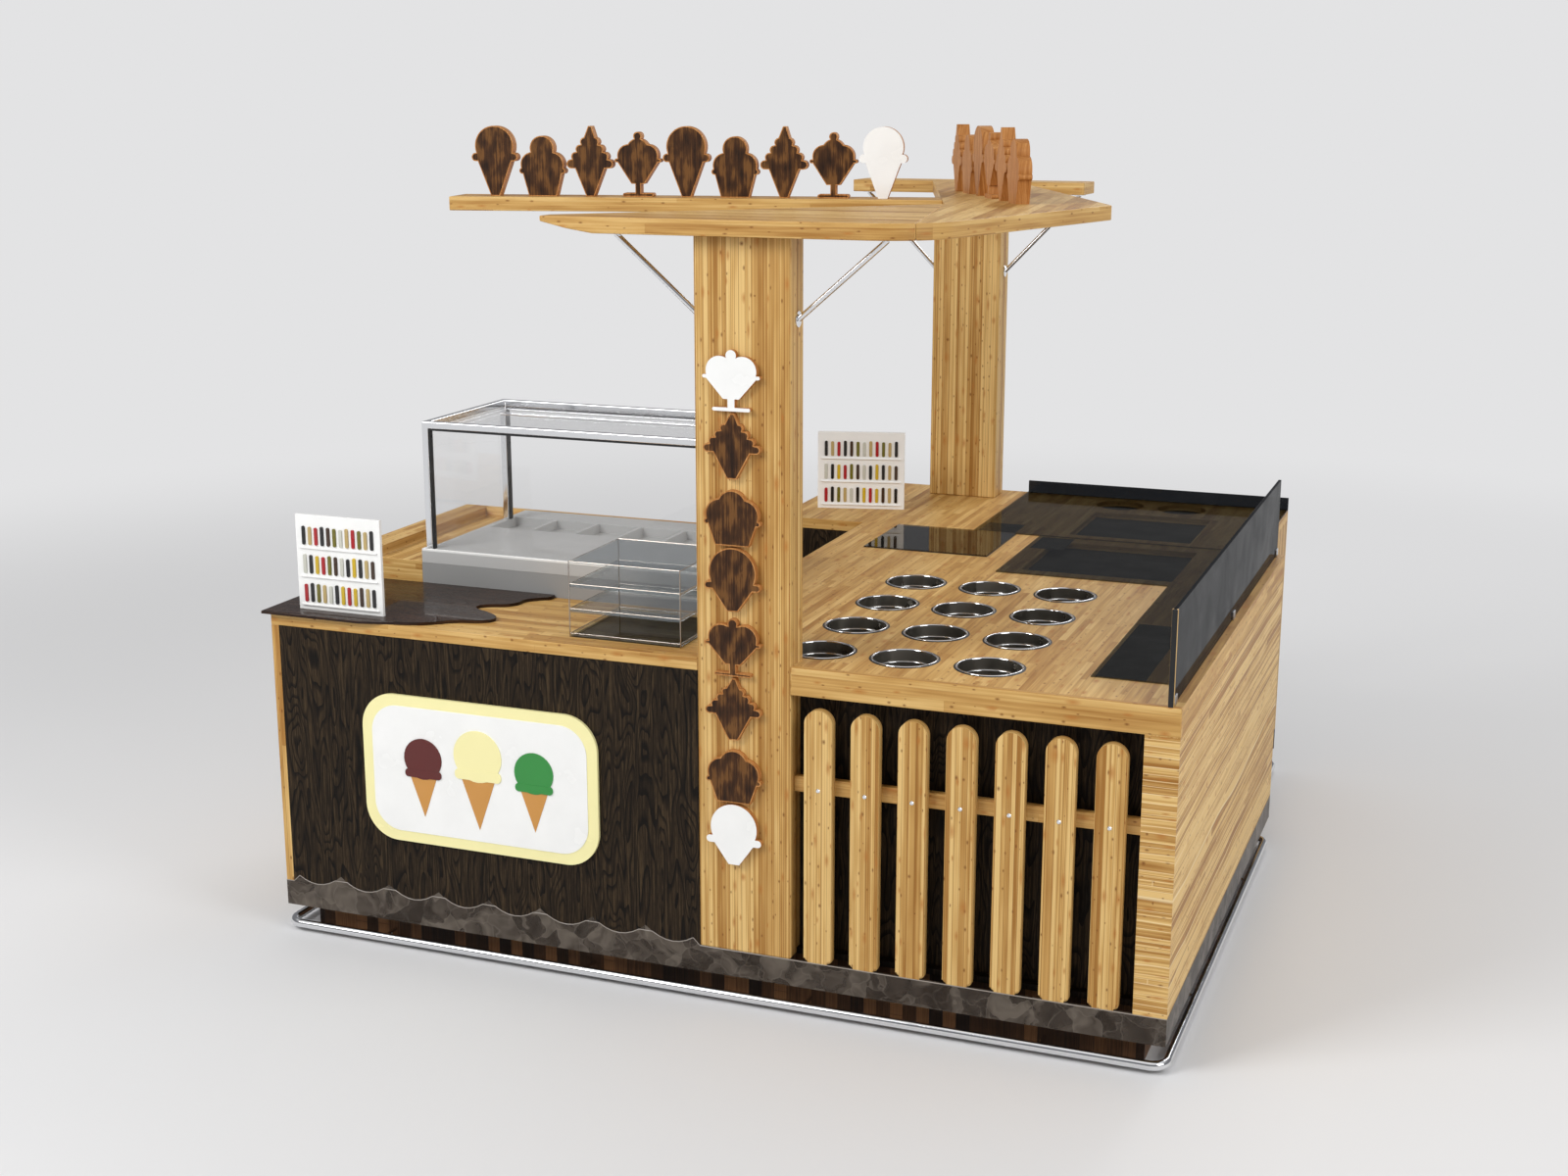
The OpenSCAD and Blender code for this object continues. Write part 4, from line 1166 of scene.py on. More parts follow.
@dataclass
class Base(Assembly):
    """The wood-block plinth, the crackled skirt and the chrome floor rail.

    Attributes:
        rail_radius: Radius of the floor rail.
        bend: Radius of its bends.
        recess: How far the plinth stands back.
        bend_steps: Points in a bend.
        bead: Radius of the bead along the skirt's scalloped edge.
        bead_sunk: How far its middle lies behind the skirt's front, as a share of its radius.
        crest: Least drop below the skirt's top of the corners that the bead runs through.
    """

    rail_radius: float = 14 * MM
    bend: float = 45 * MM
    recess: float = 70 * MM
    bend_steps: int = 10
    bead: float = 1.6 * MM
    bead_sunk: float = 0.4
    crest: float = 5 * MM

    def rounded_path(self, corners: Sequence[Point2], height: float) -> list[Vector]:
        """Rounds the corners of a path.

        Args:
            corners: The path's ends and corners in plan.
            height: The path's height.

        Returns:
            The points of the path.
        """
        path = [Vector((*corners[0], height))]
        for before, at, after in zip(corners, corners[1:], corners[2:]):
            into = (Vector(at) - Vector(before)).normalized()
            out = (Vector(after) - Vector(at)).normalized()
            centre = Vector(at) + self.bend * (out - into)
            for step in range(self.bend_steps + 1):
                angle = step / self.bend_steps * math.pi / 2
                spot = centre - self.bend * (out * math.cos(angle) - into * math.sin(angle))
                path.append(Vector((*spot, height)))
        path.append(Vector((*corners[-1], height)))
        return path

    def scallop_bead(self) -> None:
        """Makes the thin polished bead along the scalloped edge of the front skirt."""
        low, high = box_of("ice_skirt_front")
        spots: dict[float, Vector] = {}
        for vertex in self.nodes["ice_skirt_front"].data.vertices:
            spot = vertex.co.copy()
            if spot.y < low.y + MM and spot.z < high.z - self.crest:
                spot.y = low.y + self.bead_sunk * self.bead
                spots[round(spot.x, 4)] = spot
        shape = Shape().tube([spots[x] for x in sorted(spots)], self.bead, 8)
        self.make("skirt_bead", shape, self.finishes.skirt_edge, "smoked_acrylic", (), 60)

    def build(self) -> None:
        """Makes the base's pieces."""
        f = self.finishes
        self.scallop_bead()
        self.dress(f.blocks, "plinth_left", "plinth_right", "plinth_back")
        self.dress(f.ice, "ice_skirt_front", "ice_skirt_sides")
        self.dress(f.wenge_plain, "cabinet_floors")
        left = box_of("left_counter_top")[0]
        display = box_of("display_back_wall")[1]
        right = box_of("right_side_wall")[1]
        low, high = box_of("back_counter_top")
        pins_low, pins_high = box_of("rail_pins")
        height = (pins_low.z + pins_high.z) / 2
        rec = self.recess
        loops = (
            [(left.x + rec, display.y - rec), (left.x, display.y - rec), (left.x, left.y), (right.x, left.y),
             (right.x, right.y - rec), (right.x - rec, right.y - rec)],
            [(high.x - rec, low.y + rec), (high.x, low.y + rec), (high.x, high.y), (low.x, high.y),
             (low.x, low.y + rec), (low.x + rec, low.y + rec)])
        shape = Shape()
        for corners in loops:
            shape.tube(self.rounded_path(corners, height), self.rail_radius)
        self.make("floor_rail_tube", shape, f.chrome, "chrome_tube", ["floor_rail"], 50)
        self.ease("rail_pins", f.chrome, "chrome_tube", 0.0)


@dataclass
class LeftCounter(Assembly):
    """The dark-fronted left counter with its drip of dark gloss and its plaque.

    Attributes:
        edge: Radius of the wood edges.
        drip_edge: Radius of the gloss overlay's edge.
        smoothing: Times that the overlay's free edge is smoothed.
        border: Width of the plaque's border.
        corner: Radius of the plaque's corners.
        field_back: How far the border stands behind the field.
        relief: How far the plaque's motif stands out.
        cone_share: Height of the motif, as a share of the plaque's.
        cone_gap: Distance between two cones.
        small_cone: Height of the outer cones, as a share of the motif's.
        large_cone: Height of the middle cone, as a share of the same.
    """

    edge: float = 2 * MM
    drip_edge: float = 4 * MM
    smoothing: int = 3
    border: float = 34 * MM
    corner: float = 110 * MM
    field_back: float = 2 * MM
    relief: float = 2 * MM
    cone_share: float = 0.62
    cone_gap: float = 190 * MM
    small_cone: float = 0.86
    large_cone: float = 1.08

    def smooth_free_edge(self, outline: list[Vector], low: Vector, high: Vector) -> Outline:
        """Cuts the corners of an outline, apart from those on its box's front, left and back.

        Args:
            outline: The corners in order.
            low: Lowest corner of its box.
            high: Highest corner of its box.

        Returns:
            The smoothed outline.
        """
        points = [Vector((p.x, p.y)) for p in outline]

        def straight(p: Vector) -> bool:
            """Says whether a point is on a straight side."""
            return p.x < low.x + MM or p.y < low.y + MM or p.y > high.y - MM

        for _ in range(self.smoothing):
            cut = []
            for a, b in zip(points, points[1:] + points[:1]):
                cut += [a] if straight(a) else [a * 0.75 + b * 0.25]
                if not straight(a) and not straight(b):
                    cut.append(a * 0.25 + b * 0.75)
            points = cut
        return [(p.x, p.y) for p in points]

    def overlay(self) -> None:
        """Makes the drip overlay from its packed outline."""
        part = clean_copy(self.nodes["drip_overlay"])
        top = max((f for f in part.faces if f.normal.z > FACING), key=lambda f: f.calc_area())
        outline = [v.co.copy() for v in top.verts]
        part.free()
        low, high = box_of("drip_overlay")
        shape = Shape().prism(self.smooth_free_edge(outline, low, high), low.z, high.z, self.drip_edge, 3)
        self.make("drip_overlay_gloss", shape, self.finishes.drip_gloss, "drip_gloss", ["drip_overlay"], 60)

    def cone(self, shape: Shape, x: float, z: float, size: float, place: Matrix, scoop: int) -> None:
        """Adds a flat cone with a scoop to the plaque's motif. Its parts are shares of its height.

        Args:
            shape: The motif.
            x: Its middle.
            z: Its tip.
            size: Its height.
            place: The plaque's front.
            scoop: The finish of the scoop.
        """
        wafer = [(x, z), (x + 0.2 * size, z + 0.56 * size), (x - 0.2 * size, z + 0.56 * size)]
        shape.prism(wafer, 0, self.relief, 0.4 * MM, 1, finish=3, place=place)
        ball = circle(x, z + 0.74 * size, 0.26 * size)
        shape.prism(ball, 0, 1.6 * self.relief, 0.8 * MM, 2, finish=scoop, place=place)
        ends = (x - 0.25 * size, z + 0.5 * size), (x + 0.25 * size, z + 0.6 * size)
        band = rounded_rectangle(*ends, 0.04 * size)
        shape.prism(band, 0, 2 * self.relief, 0.6 * MM, 2, finish=scoop, place=place)

    def plaque(self) -> None:
        """Makes the plaque: a white field with a cream border and three plain cones."""
        low, high = box_of("front_plaque")
        middle = (low + high) / 2
        back, front = standing(high.y), standing(low.y + 0.5 * MM)
        thick, b, step = high.y - low.y, self.border, self.field_back
        outer = rounded_rectangle((low.x, low.z), (high.x, high.z), self.corner, 16)
        shape = Shape().prism(outer, 0, thick - step, 2 * MM, 2, finish=1, place=back)
        inner = rounded_rectangle((low.x + b, low.z + b), (high.x - b, high.z - b), self.corner - b * 0.6, 16)
        shape.prism(inner, thick - step - MM, thick, 1.5 * MM, 2, finish=0, place=back)
        height = (high.z - low.z) * self.cone_share
        for side, scoop in ((-1, 4), (1, 2)):
            self.cone(shape, middle.x + side * self.cone_gap, middle.z - 0.5 * height,
                      height * self.small_cone, front, scoop)
        self.cone(shape, middle.x, middle.z - 0.56 * height, height * self.large_cone, front, 1)
        f = self.finishes
        paints = [f.white, f.cream, f.green, f.wafer, f.maroon]
        self.make("front_plaque_dressed", shape, paints, "white_board", ["front_plaque"])

    def build(self) -> None:
        """Makes the counter's pieces."""
        f = self.finishes
        self.ease("left_end_panel", f.bamboo_upright, "bamboo", self.edge)
        self.ease("left_counter_top", f.bamboo_across, "bamboo", self.edge)
        self.dress(f.wenge, "left_front_panel")
        self.overlay()
        self.plaque()


@dataclass
class DisplayUnit(Assembly):
    """The display cabinet behind the left counter, with its tray, case and bamboo surround.

    Attributes:
        wood_edge: Radius of the wood edges.
        tube_edge: Radius of the frame tubes' edges.
        tube: Width of the frame tubes.
        seal: Width of the glazing seals.
        seal_back: How far the seals lie within the tubes.
        lip: Height of the tray's lips.
        lip_depth: Depth of its front lip.
        lip_width: Width of its side lip.
        lip_foot: How far the lips reach down into the tray's edge.
        rail: Radius of the inner top rail.
        rail_end: How far its ends stop short of the frame.
        rail_back: How far it hangs in front of the frame's back.
    """

    wood_edge: float = 2 * MM
    tube_edge: float = 3.5 * MM
    tube: float = 23 * MM
    seal: float = 6 * MM
    seal_back: float = 3 * MM
    lip: float = 7 * MM
    lip_depth: float = 9 * MM
    lip_width: float = 7 * MM
    lip_foot: float = 2 * MM
    rail: float = 5 * MM
    rail_end: float = 14 * MM
    rail_back: float = 40 * MM

    def build(self) -> None:
        """Makes the display unit's pieces."""
        f = self.finishes
        self.ease("display_side_wall", f.bamboo_deep, "bamboo", self.wood_edge)
        self.ease("display_back_wall", f.bamboo_across, "bamboo", self.wood_edge)
        self.dress(f.cabinet_grey, "display_cabinet")
        self.ease("display_tray", f.tray_grey, "steel_sheet", 1.5 * MM)
        self.ease("display_frame", f.chrome, "chrome_tube", self.tube_edge, 3)
        self.ease("display_glass", f.clear_glass, "clear_glass", 0.6 * MM, 1)
        low, high = box_of("display_frame")
        tray_low, tray_high = box_of("display_tray")
        foot, crest, inner = tray_high.z - self.lip_foot, tray_high.z + self.lip, tray_low.y + self.lip_depth
        lips = Shape().block((tray_low.x, tray_low.y, foot), (tray_high.x, inner, crest), 2.5 * MM)
        lips.block((tray_low.x, inner, foot), (tray_low.x + self.lip_width, low.y, crest), 2 * MM)
        self.make("tray_lips", lips, f.white, "steel_sheet")
        ends = [Vector((x, high.y - self.rail_back, high.z - 2 * self.tube))
                for x in (low.x + self.rail_end, high.x - self.rail_end)]
        self.make("case_inner_rail", Shape().tube(ends, self.rail, 16), f.chrome, "chrome_tube")
        tube, seal, seals = self.tube, self.seal, Shape()
        top = high.z - tube
        for y in (low.y, high.y - tube):
            near, far = y + self.seal_back, y + tube - self.seal_back
            seals.block((low.x + tube, near, top - seal), (high.x - tube, far, top))
            for x in (low.x + tube, high.x - tube - seal):
                seals.block((x, near, tray_high.z), (x + seal, far, top - seal))
        self.make("case_seals", seals, f.seal, "chrome_tube")


@dataclass
class Fence(Assembly):
    """The picket front of the right counter.

    Attributes:
        round_over: Radius of the pickets' front edges.
        corner: Radius of their bottom corners.
        gap: Least gap between two pickets.
        screw: Radius of a screw head.
        screw_drop: How far the screws sit below the rail's middle.
    """

    round_over: float = 10 * MM
    corner: float = 12 * MM
    gap: float = 20 * MM
    screw: float = 6.5 * MM
    screw_drop: float = 4 * MM

    def picket_sides(self) -> list[tuple[float, float]]:
        """Finds the left and right faces of each picket.

        Returns:
            The least and greatest x of each picket, from left to right.
        """
        spans: list[list[float]] = []
        for x in sorted({round(v.co.x, 5) for v in self.nodes["fence_pickets"].data.vertices}):
            if spans and x - spans[-1][1] < self.gap:
                spans[-1][1] = x
            else:
                spans.append([x, x])
        return [(a, b) for a, b in spans]

    def outline(self, left: float, right: float, foot: float, tip: float) -> Outline:
        """Draws a picket with a round top and small bottom corners.

        Args:
            left: Its left side.
            right: Its right side.
            foot: Its lowest point.
            tip: Its highest point.

        Returns:
            The outline.
        """
        corner, radius, middle = self.corner, (right - left) / 2, (left + right) / 2
        quarter = [math.pi / 12 * i for i in range(7)]
        points = [(left + corner * (1 - math.sin(a)), foot + corner * (1 - math.cos(a))) for a in quarter]
        points += [(middle - radius * math.cos(a), tip - radius + radius * math.sin(a))
                   for a in (math.pi * i / 32 for i in range(33))]
        points += [(right - corner * (1 - math.cos(a)), foot + corner * (1 - math.sin(a))) for a in quarter]
        return points[::-1]

    def build(self) -> None:
        """Makes the fence's pieces."""
        f = self.finishes
        low, high = box_of("fence_pickets")
        rail_low, rail_high = box_of("fence_rail")
        pickets, screws, r = Shape(), Shape(), self.screw
        head = [(0, 0), (r, 0), (r, 0.6 * MM), (0.7 * r, 2.6 * MM), (0, 3.2 * MM)]
        for left, right in self.picket_sides():
            outline = self.outline(left, right, low.z, high.z)
            pickets.prism(outline, 0, high.y - low.y, self.round_over, 4, place=standing(high.y))
            spot = ((left + right) / 2, low.y, (rail_low.z + rail_high.z) / 2 - self.screw_drop)
            screws.lathe(head, spot, 20, place=Matrix.Rotation(math.pi / 2, 4, "X"))
        self.make("fence_pickets_dressed", pickets, f.bamboo_upright, "bamboo", ["fence_pickets"], 60)
        self.make("fence_screws", screws, f.chrome, "chrome_tube")
        self.ease("fence_rail", f.bamboo_across, "bamboo", 5 * MM, 3, 60)
        self.dress(f.wenge, "fence_back_panel")


@dataclass(frozen=True)
class Plate:
    """A thin black plate under a glass top, in metres.

    Attributes:
        corner: Its lowest corner in plan, from the glass's low side, or where negative from its high side.
        size: Its size in plan.
        drop: How far it lies below the glass.
    """

    corner: Point2
    size: Point2
    drop: float = 0.0

    def lay(self, shape: Shape, glass: tuple[Vector, Vector], thick: float) -> None:
        """Adds the plate to a shape.

        Args:
            shape: The shape.
            glass: Lowest and highest corner of the glass.
            thick: Thickness of the plate.
        """
        x, y = ((low if step >= 0 else high) + step for step, low, high in zip(self.corner, *glass))
        z = glass[0].z - self.drop
        shape.block((x, y, z), (x + self.size[0], y + self.size[1], z + thick))


@dataclass
class RightCounter(Assembly):
    """The bamboo right counter with its wells, dark glass and guard.

    Attributes:
        fascia: Depth of the front fascia's top.
        proud: How far the fascia stands out from the deck.
        columns: Cups in a row.
        rows: Rows of cups.
        rim: Radius of a cup's rim.
        bore: Radius inside a cup.
        depth: Depth of a cup.
        sheet: Thickness of its bottom.
        ring: How far below the rim the ring inside a cup runs.
        ring_radius: Radius of that ring's wire.
        lift: Gap between a glass and the wood below it.
        plate: Thickness of a black plate.
        plates: The plates of the front corner, the sunk tray and the side pocket.
        seal: Width of the seal round the hob.
        strip: Width of the guard's wooden end.
        clamp: Length of a guard clamp.
        clamp_height: Height of one.
    """

    fascia: float = 22 * MM
    proud: float = 0.8 * MM
    columns: int = 3
    rows: int = 4
    rim: float = 102 * MM
    bore: float = 91 * MM
    depth: float = 178 * MM
    sheet: float = 2 * MM
    ring: float = 34 * MM
    ring_radius: float = 2.6 * MM
    lift: float = 0.5 * MM
    plate: float = 0.4 * MM
    plates: tuple[Plate, ...] = (
        Plate((-0.215, 0.012), (0.14, 0.608)), Plate((-0.735, -0.55), (0.51, 0.48), 0.021),
        Plate((0.012, -0.2), (0.118, 0.188)))
    seal: float = 1.5 * MM
    strip: float = 8 * MM
    clamp: float = 36 * MM
    clamp_height: float = 26 * MM

    def cups(self) -> None:
        """Makes the steel cups, each with a bead rim, a gasket and an inner ring."""
        f = self.finishes
        low, high = box_of("topping_cups")
        bore, rim, deep = self.bore, self.rim, self.depth
        step_x = (high.x - low.x - 2 * rim) / (self.columns - 1)
        step_y = (high.y - low.y - 2 * rim) / (self.rows - 1)
        top = box_of("well_block_front")[1].z
        # radius from the bore and height above the counter, in millimetres, closed round each section
        bead = [(bore + r * MM, h * MM) for r, h in (
            (-0.5, 0.5), (0.5, 3), (2.5, 3.8), (4.5, 3), (5.5, 0.5), (-0.5, 0.5))]
        gasket = [(bore, 0.1 * MM), (bore, 1.6 * MM), (rim - 2 * MM, 1.6 * MM), (rim, 0.1 * MM),
                  (bore, 0.1 * MM)]
        wall = bore + 0.8 * MM
        floor = self.sheet - deep
        bowl = [(wall, 0), (wall, -deep), (0, -deep), (0, floor), (bore - 16 * MM, floor),
                (bore - 10 * MM, floor + 3 * MM), (bore - 6 * MM, floor + 10 * MM), (bore - 1 * MM, 0),
                (wall, 0)]
        wire = [(bore - 4 * MM + self.ring_radius * math.cos(a), -self.ring + self.ring_radius * math.sin(a))
                for a in (math.pi * k / 4 for k in range(9))]
        rims, bowls, gaskets = Shape(), Shape(), Shape()
        for i in range(self.columns):
            for j in range(self.rows):
                centre = (low.x + rim + i * step_x, low.y + rim + j * step_y, top)
                for shape, profile in ((rims, bead), (rims, wire), (bowls, bowl), (gaskets, gasket)):
                    shape.lathe(profile, centre, 72)
        self.make("topping_cups_dressed", bowls, f.cup_steel, "steel_sheet", ["topping_cups"], 60)
        self.make("topping_cup_rims", rims, f.chrome, "chrome_tube", (), 60)
        self.make("topping_cup_gaskets", gaskets, f.seal, "chrome_tube", (), 60)

    def glass(self) -> None:
        """Makes the dark glass and the plates below it."""
        f = self.finishes
        for node, finish in (("side_glass_top", f.dark_glass), ("cooking_plate", f.hob_glass)):
            shape = self.lifted_glass(node, self.lift)
            top = box_of(node)[1].z
            edges = [e for e in shape.mesh.edges if all(v.co.z > top - MM for v in e.verts)]
            bmesh.ops.bevel(shape.mesh, geom=edges, offset=0.8 * MM, segments=1, affect="EDGES")
            self.make(node + "_dressed", shape, finish, "black_glass", [node])
        plates = Shape()
        for plate in self.plates:
            plate.lay(plates, box_of("side_glass_top"), self.plate)
        self.make("black_plates_side", plates, f.pan_black, "black_glass")
        low, high = box_of("cooking_plate")
        seal = Shape().block((low.x - self.seal, low.y - self.seal, low.z),
                             (high.x + self.seal, high.y, low.z + self.plate))
        self.make("hob_seal", seal, f.seal, "black_glass")

    def guard(self) -> None:
        """Makes the guard with the strips at its front end and its clamps."""
        f = self.finishes
        self.ease("side_guard", f.guard_glass, "smoked_acrylic", 1 * MM, 1)
        low, high = box_of("side_guard")
        front = low.y + 4 * MM
        end = Shape().block((low.x - 3 * MM, front, low.z),
                            (high.x + 3 * MM, front + self.strip, high.z), 1 * MM)
        edge = Shape().block((low.x - 2 * MM, low.y - 0.5 * MM, low.z),
                             (high.x + 2 * MM, front, high.z), 1 * MM)
        self.make("guard_end_strip", end, f.bamboo_upright, "bamboo")
        self.make("guard_end_edge", edge, f.seal, "smoked_acrylic")
        clamps = Shape()
        for y in (low.y + 16 * MM, (low.y + high.y) / 2, high.y - 44 * MM):
            clamps.block((low.x - 4 * MM, y, low.z + 0.2 * MM),
                         (high.x + 4 * MM, y + self.clamp, low.z + self.clamp_height), 1.2 * MM)
        self.make("guard_clamps", clamps, f.steel, "steel_sheet")

    def build(self) -> None:
        """Makes the right counter's pieces."""
        f = self.finishes
        self.dress(f.bamboo_deep, "counter_front_edge", "counter_left_part", "counter_right_part",
                   "counter_rear_part", "well_block_front", "well_block_rear")
        self.ease("right_side_wall", f.bamboo_wall, "bamboo", 1.5 * MM, 1)
        self.dress(f.wenge_plain, "aisle_panel")
        low, high = box_of("counter_front_edge")
        start = box_of("front_column")[1].x + 0.5 * MM
        p = self.proud
        shape = Shape().block((start, low.y - p, low.z - p),
                              (high.x + p, low.y + self.fascia, high.z + p), 4 * MM, 3)
        self.make("counter_fascia", shape, f.bamboo_edge, "bamboo", (), 60)
        self.cups()
        self.glass()
        self.guard()


@dataclass
class BackCounter(Assembly):
    """The back counter with its dark glass and low guard.

    Attributes:
        lift: Gap between the glass and the wood below it.
        edge: Radius of the panels' edges.
        thin: Thickness of the black plates in the pockets.
        drop: How far the pockets' floors lie below the glass.
        plates: The square plate in its pocket and the small one in the corner.
        first_round: Centre of the first round plate, from the glass's left rear corner.
        round_step: Distance to the next one.
        round_radius: Radius of the round plates.
    """

    lift: float = 0.5 * MM
    edge: float = 1.5 * MM
    thin: float = 0.5 * MM
    drop: float = 22 * MM
    plates: tuple[Plate, ...] = (
        Plate((0.342, 0.072), (0.436, 0.436), 0.022), Plate((0.012, 0.02), (0.138, 0.15)))
    first_round: Point2 = (0.4, -0.13)
    round_step: float = 240 * MM
    round_radius: float = 90 * MM

    def build(self) -> None:
        """Makes the back counter's pieces."""
        f = self.finishes
        self.dress(f.bamboo_deep, "back_counter_top")
        self.ease("back_front_panel", f.wenge, "dark_wood", self.edge, 1)
        self.ease("back_end_panels", f.bamboo_upright, "bamboo", self.edge, 1)
        self.dress(f.wenge, "back_rear_panel")
        glass = self.lifted_glass("back_glass_top", self.lift)
        self.make("back_glass_top_dressed", glass, f.dark_glass, "black_glass", ["back_glass_top"])
        self.ease("back_guard", f.guard_glass, "smoked_acrylic", 1 * MM, 1)
        low, high = box_of("back_glass_top")
        plates = Shape()
        for plate in self.plates:
            plate.lay(plates, (low, high), self.thin)
        disc = [(0, 0), (self.round_radius, 0), (self.round_radius, self.thin), (0, self.thin)]
        x, y = self.first_round
        for i in range(2):
            plates.lathe(disc, (low.x + x + i * self.round_step, high.y + y, low.z - self.drop), 48)
        self.make("black_plates_back", plates, f.pan_black, "black_glass")


@dataclass
class Canopy(Assembly):
    """The two columns, the struts and the canopy boards.

    Attributes:
        column_edge: Radius of the columns' corners.
        board_edge: Radius of the boards' edges.
    """

    column_edge: float = 6 * MM
    board_edge: float = 3 * MM

    def build(self) -> None:
        """Makes the canopy's pieces."""
        f = self.finishes
        for node in ("front_column", "rear_column"):
            self.ease(node, f.bamboo_upright, "bamboo", self.column_edge, 3, 60)
        for node, finish in (("canopy_front_wing", f.bamboo_wing), ("canopy_side_board", f.bamboo_side),
                             ("canopy_sign_bar", f.bamboo_bar), ("canopy_rear_board", f.bamboo_across)):
            self.ease(node, finish, "bamboo", self.board_edge)
        self.ease("canopy_struts", f.chrome, "chrome_tube", 0.0, 1, 40)


@dataclass
class Signs(Assembly):
    """The cut-out ice cream shapes on the canopy and on the column.

    Attributes:
        rim: Width of the paler rim round each face.
        bar_turn: Turn of the sign bar in plan, in degrees.
        side_turn: Turn of the side row in plan.
    """

    rim: float = 3.5 * MM
    bar_turn: float = BAR_TURN
    side_turn: float = 118.5

    def islands(self, mesh: bmesh.types.BMesh) -> list[list[bmesh.types.BMFace]]:
        """Groups faces that hang together.

        Args:
            mesh: The mesh.

        Returns:
            The faces of each group.
        """
        left = set(mesh.faces)
        groups = []
        while left:
            stack = [left.pop()]
            group = []
            while stack:
                face = stack.pop()
                group.append(face)
                for near in (f for edge in face.edges for f in edge.link_faces):
                    if near in left:
                        left.remove(near)
                        stack.append(near)
            groups.append(group)
        return groups

    def row(self, node: str, turn: float, order: Callable[[Vector], float], white: Sequence[int]) -> None:
        """Makes one row of cut-outs with dark faces and paler rims.

        Args:
            node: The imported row.
            turn: The row's turn in plan, in degrees.
            order: Gives each cut-out's place in the row.
            white: The places of the white cut-outs.
        """
        f = self.finishes
        shape = Shape().copy(self.nodes[node], finish=1)
        facing = Vector((math.sin(math.radians(turn)), -math.cos(math.radians(turn)), 0))
        groups = self.islands(shape.mesh)
        groups.sort(key=lambda faces: order(
            sum((x.calc_center_median() for x in faces), Vector()) / len(faces)))
        whites = [w % len(groups) for w in white]
        fronts = []
        for place, faces in enumerate(groups):
            for face in faces:
                front = face.normal.dot(facing) > FACING
                face.material_index = 1 if not front else 2 if place in whites else 0
                if front:
                    fronts.append(face)
        for face in fronts:
            index = face.material_index
            ring = bmesh.ops.inset_individual(shape.mesh, faces=[face], thickness=self.rim, depth=0.0)
            for edge_face in ring["faces"]:
                edge_face.material_index = index if index == 2 else 1
        self.make(node + "_dressed", shape, [f.walnut, f.walnut_rim, f.white], "walnut_board", [node])

    def build(self) -> None:
        """Makes the three rows."""
        self.row("roof_sign_front", self.bar_turn, lambda c: c.x, [-1])
        self.row("roof_sign_side", self.side_turn, lambda c: c.y, [-1])
        self.row("column_sign", 0.0, lambda c: c.z, [0, -1])


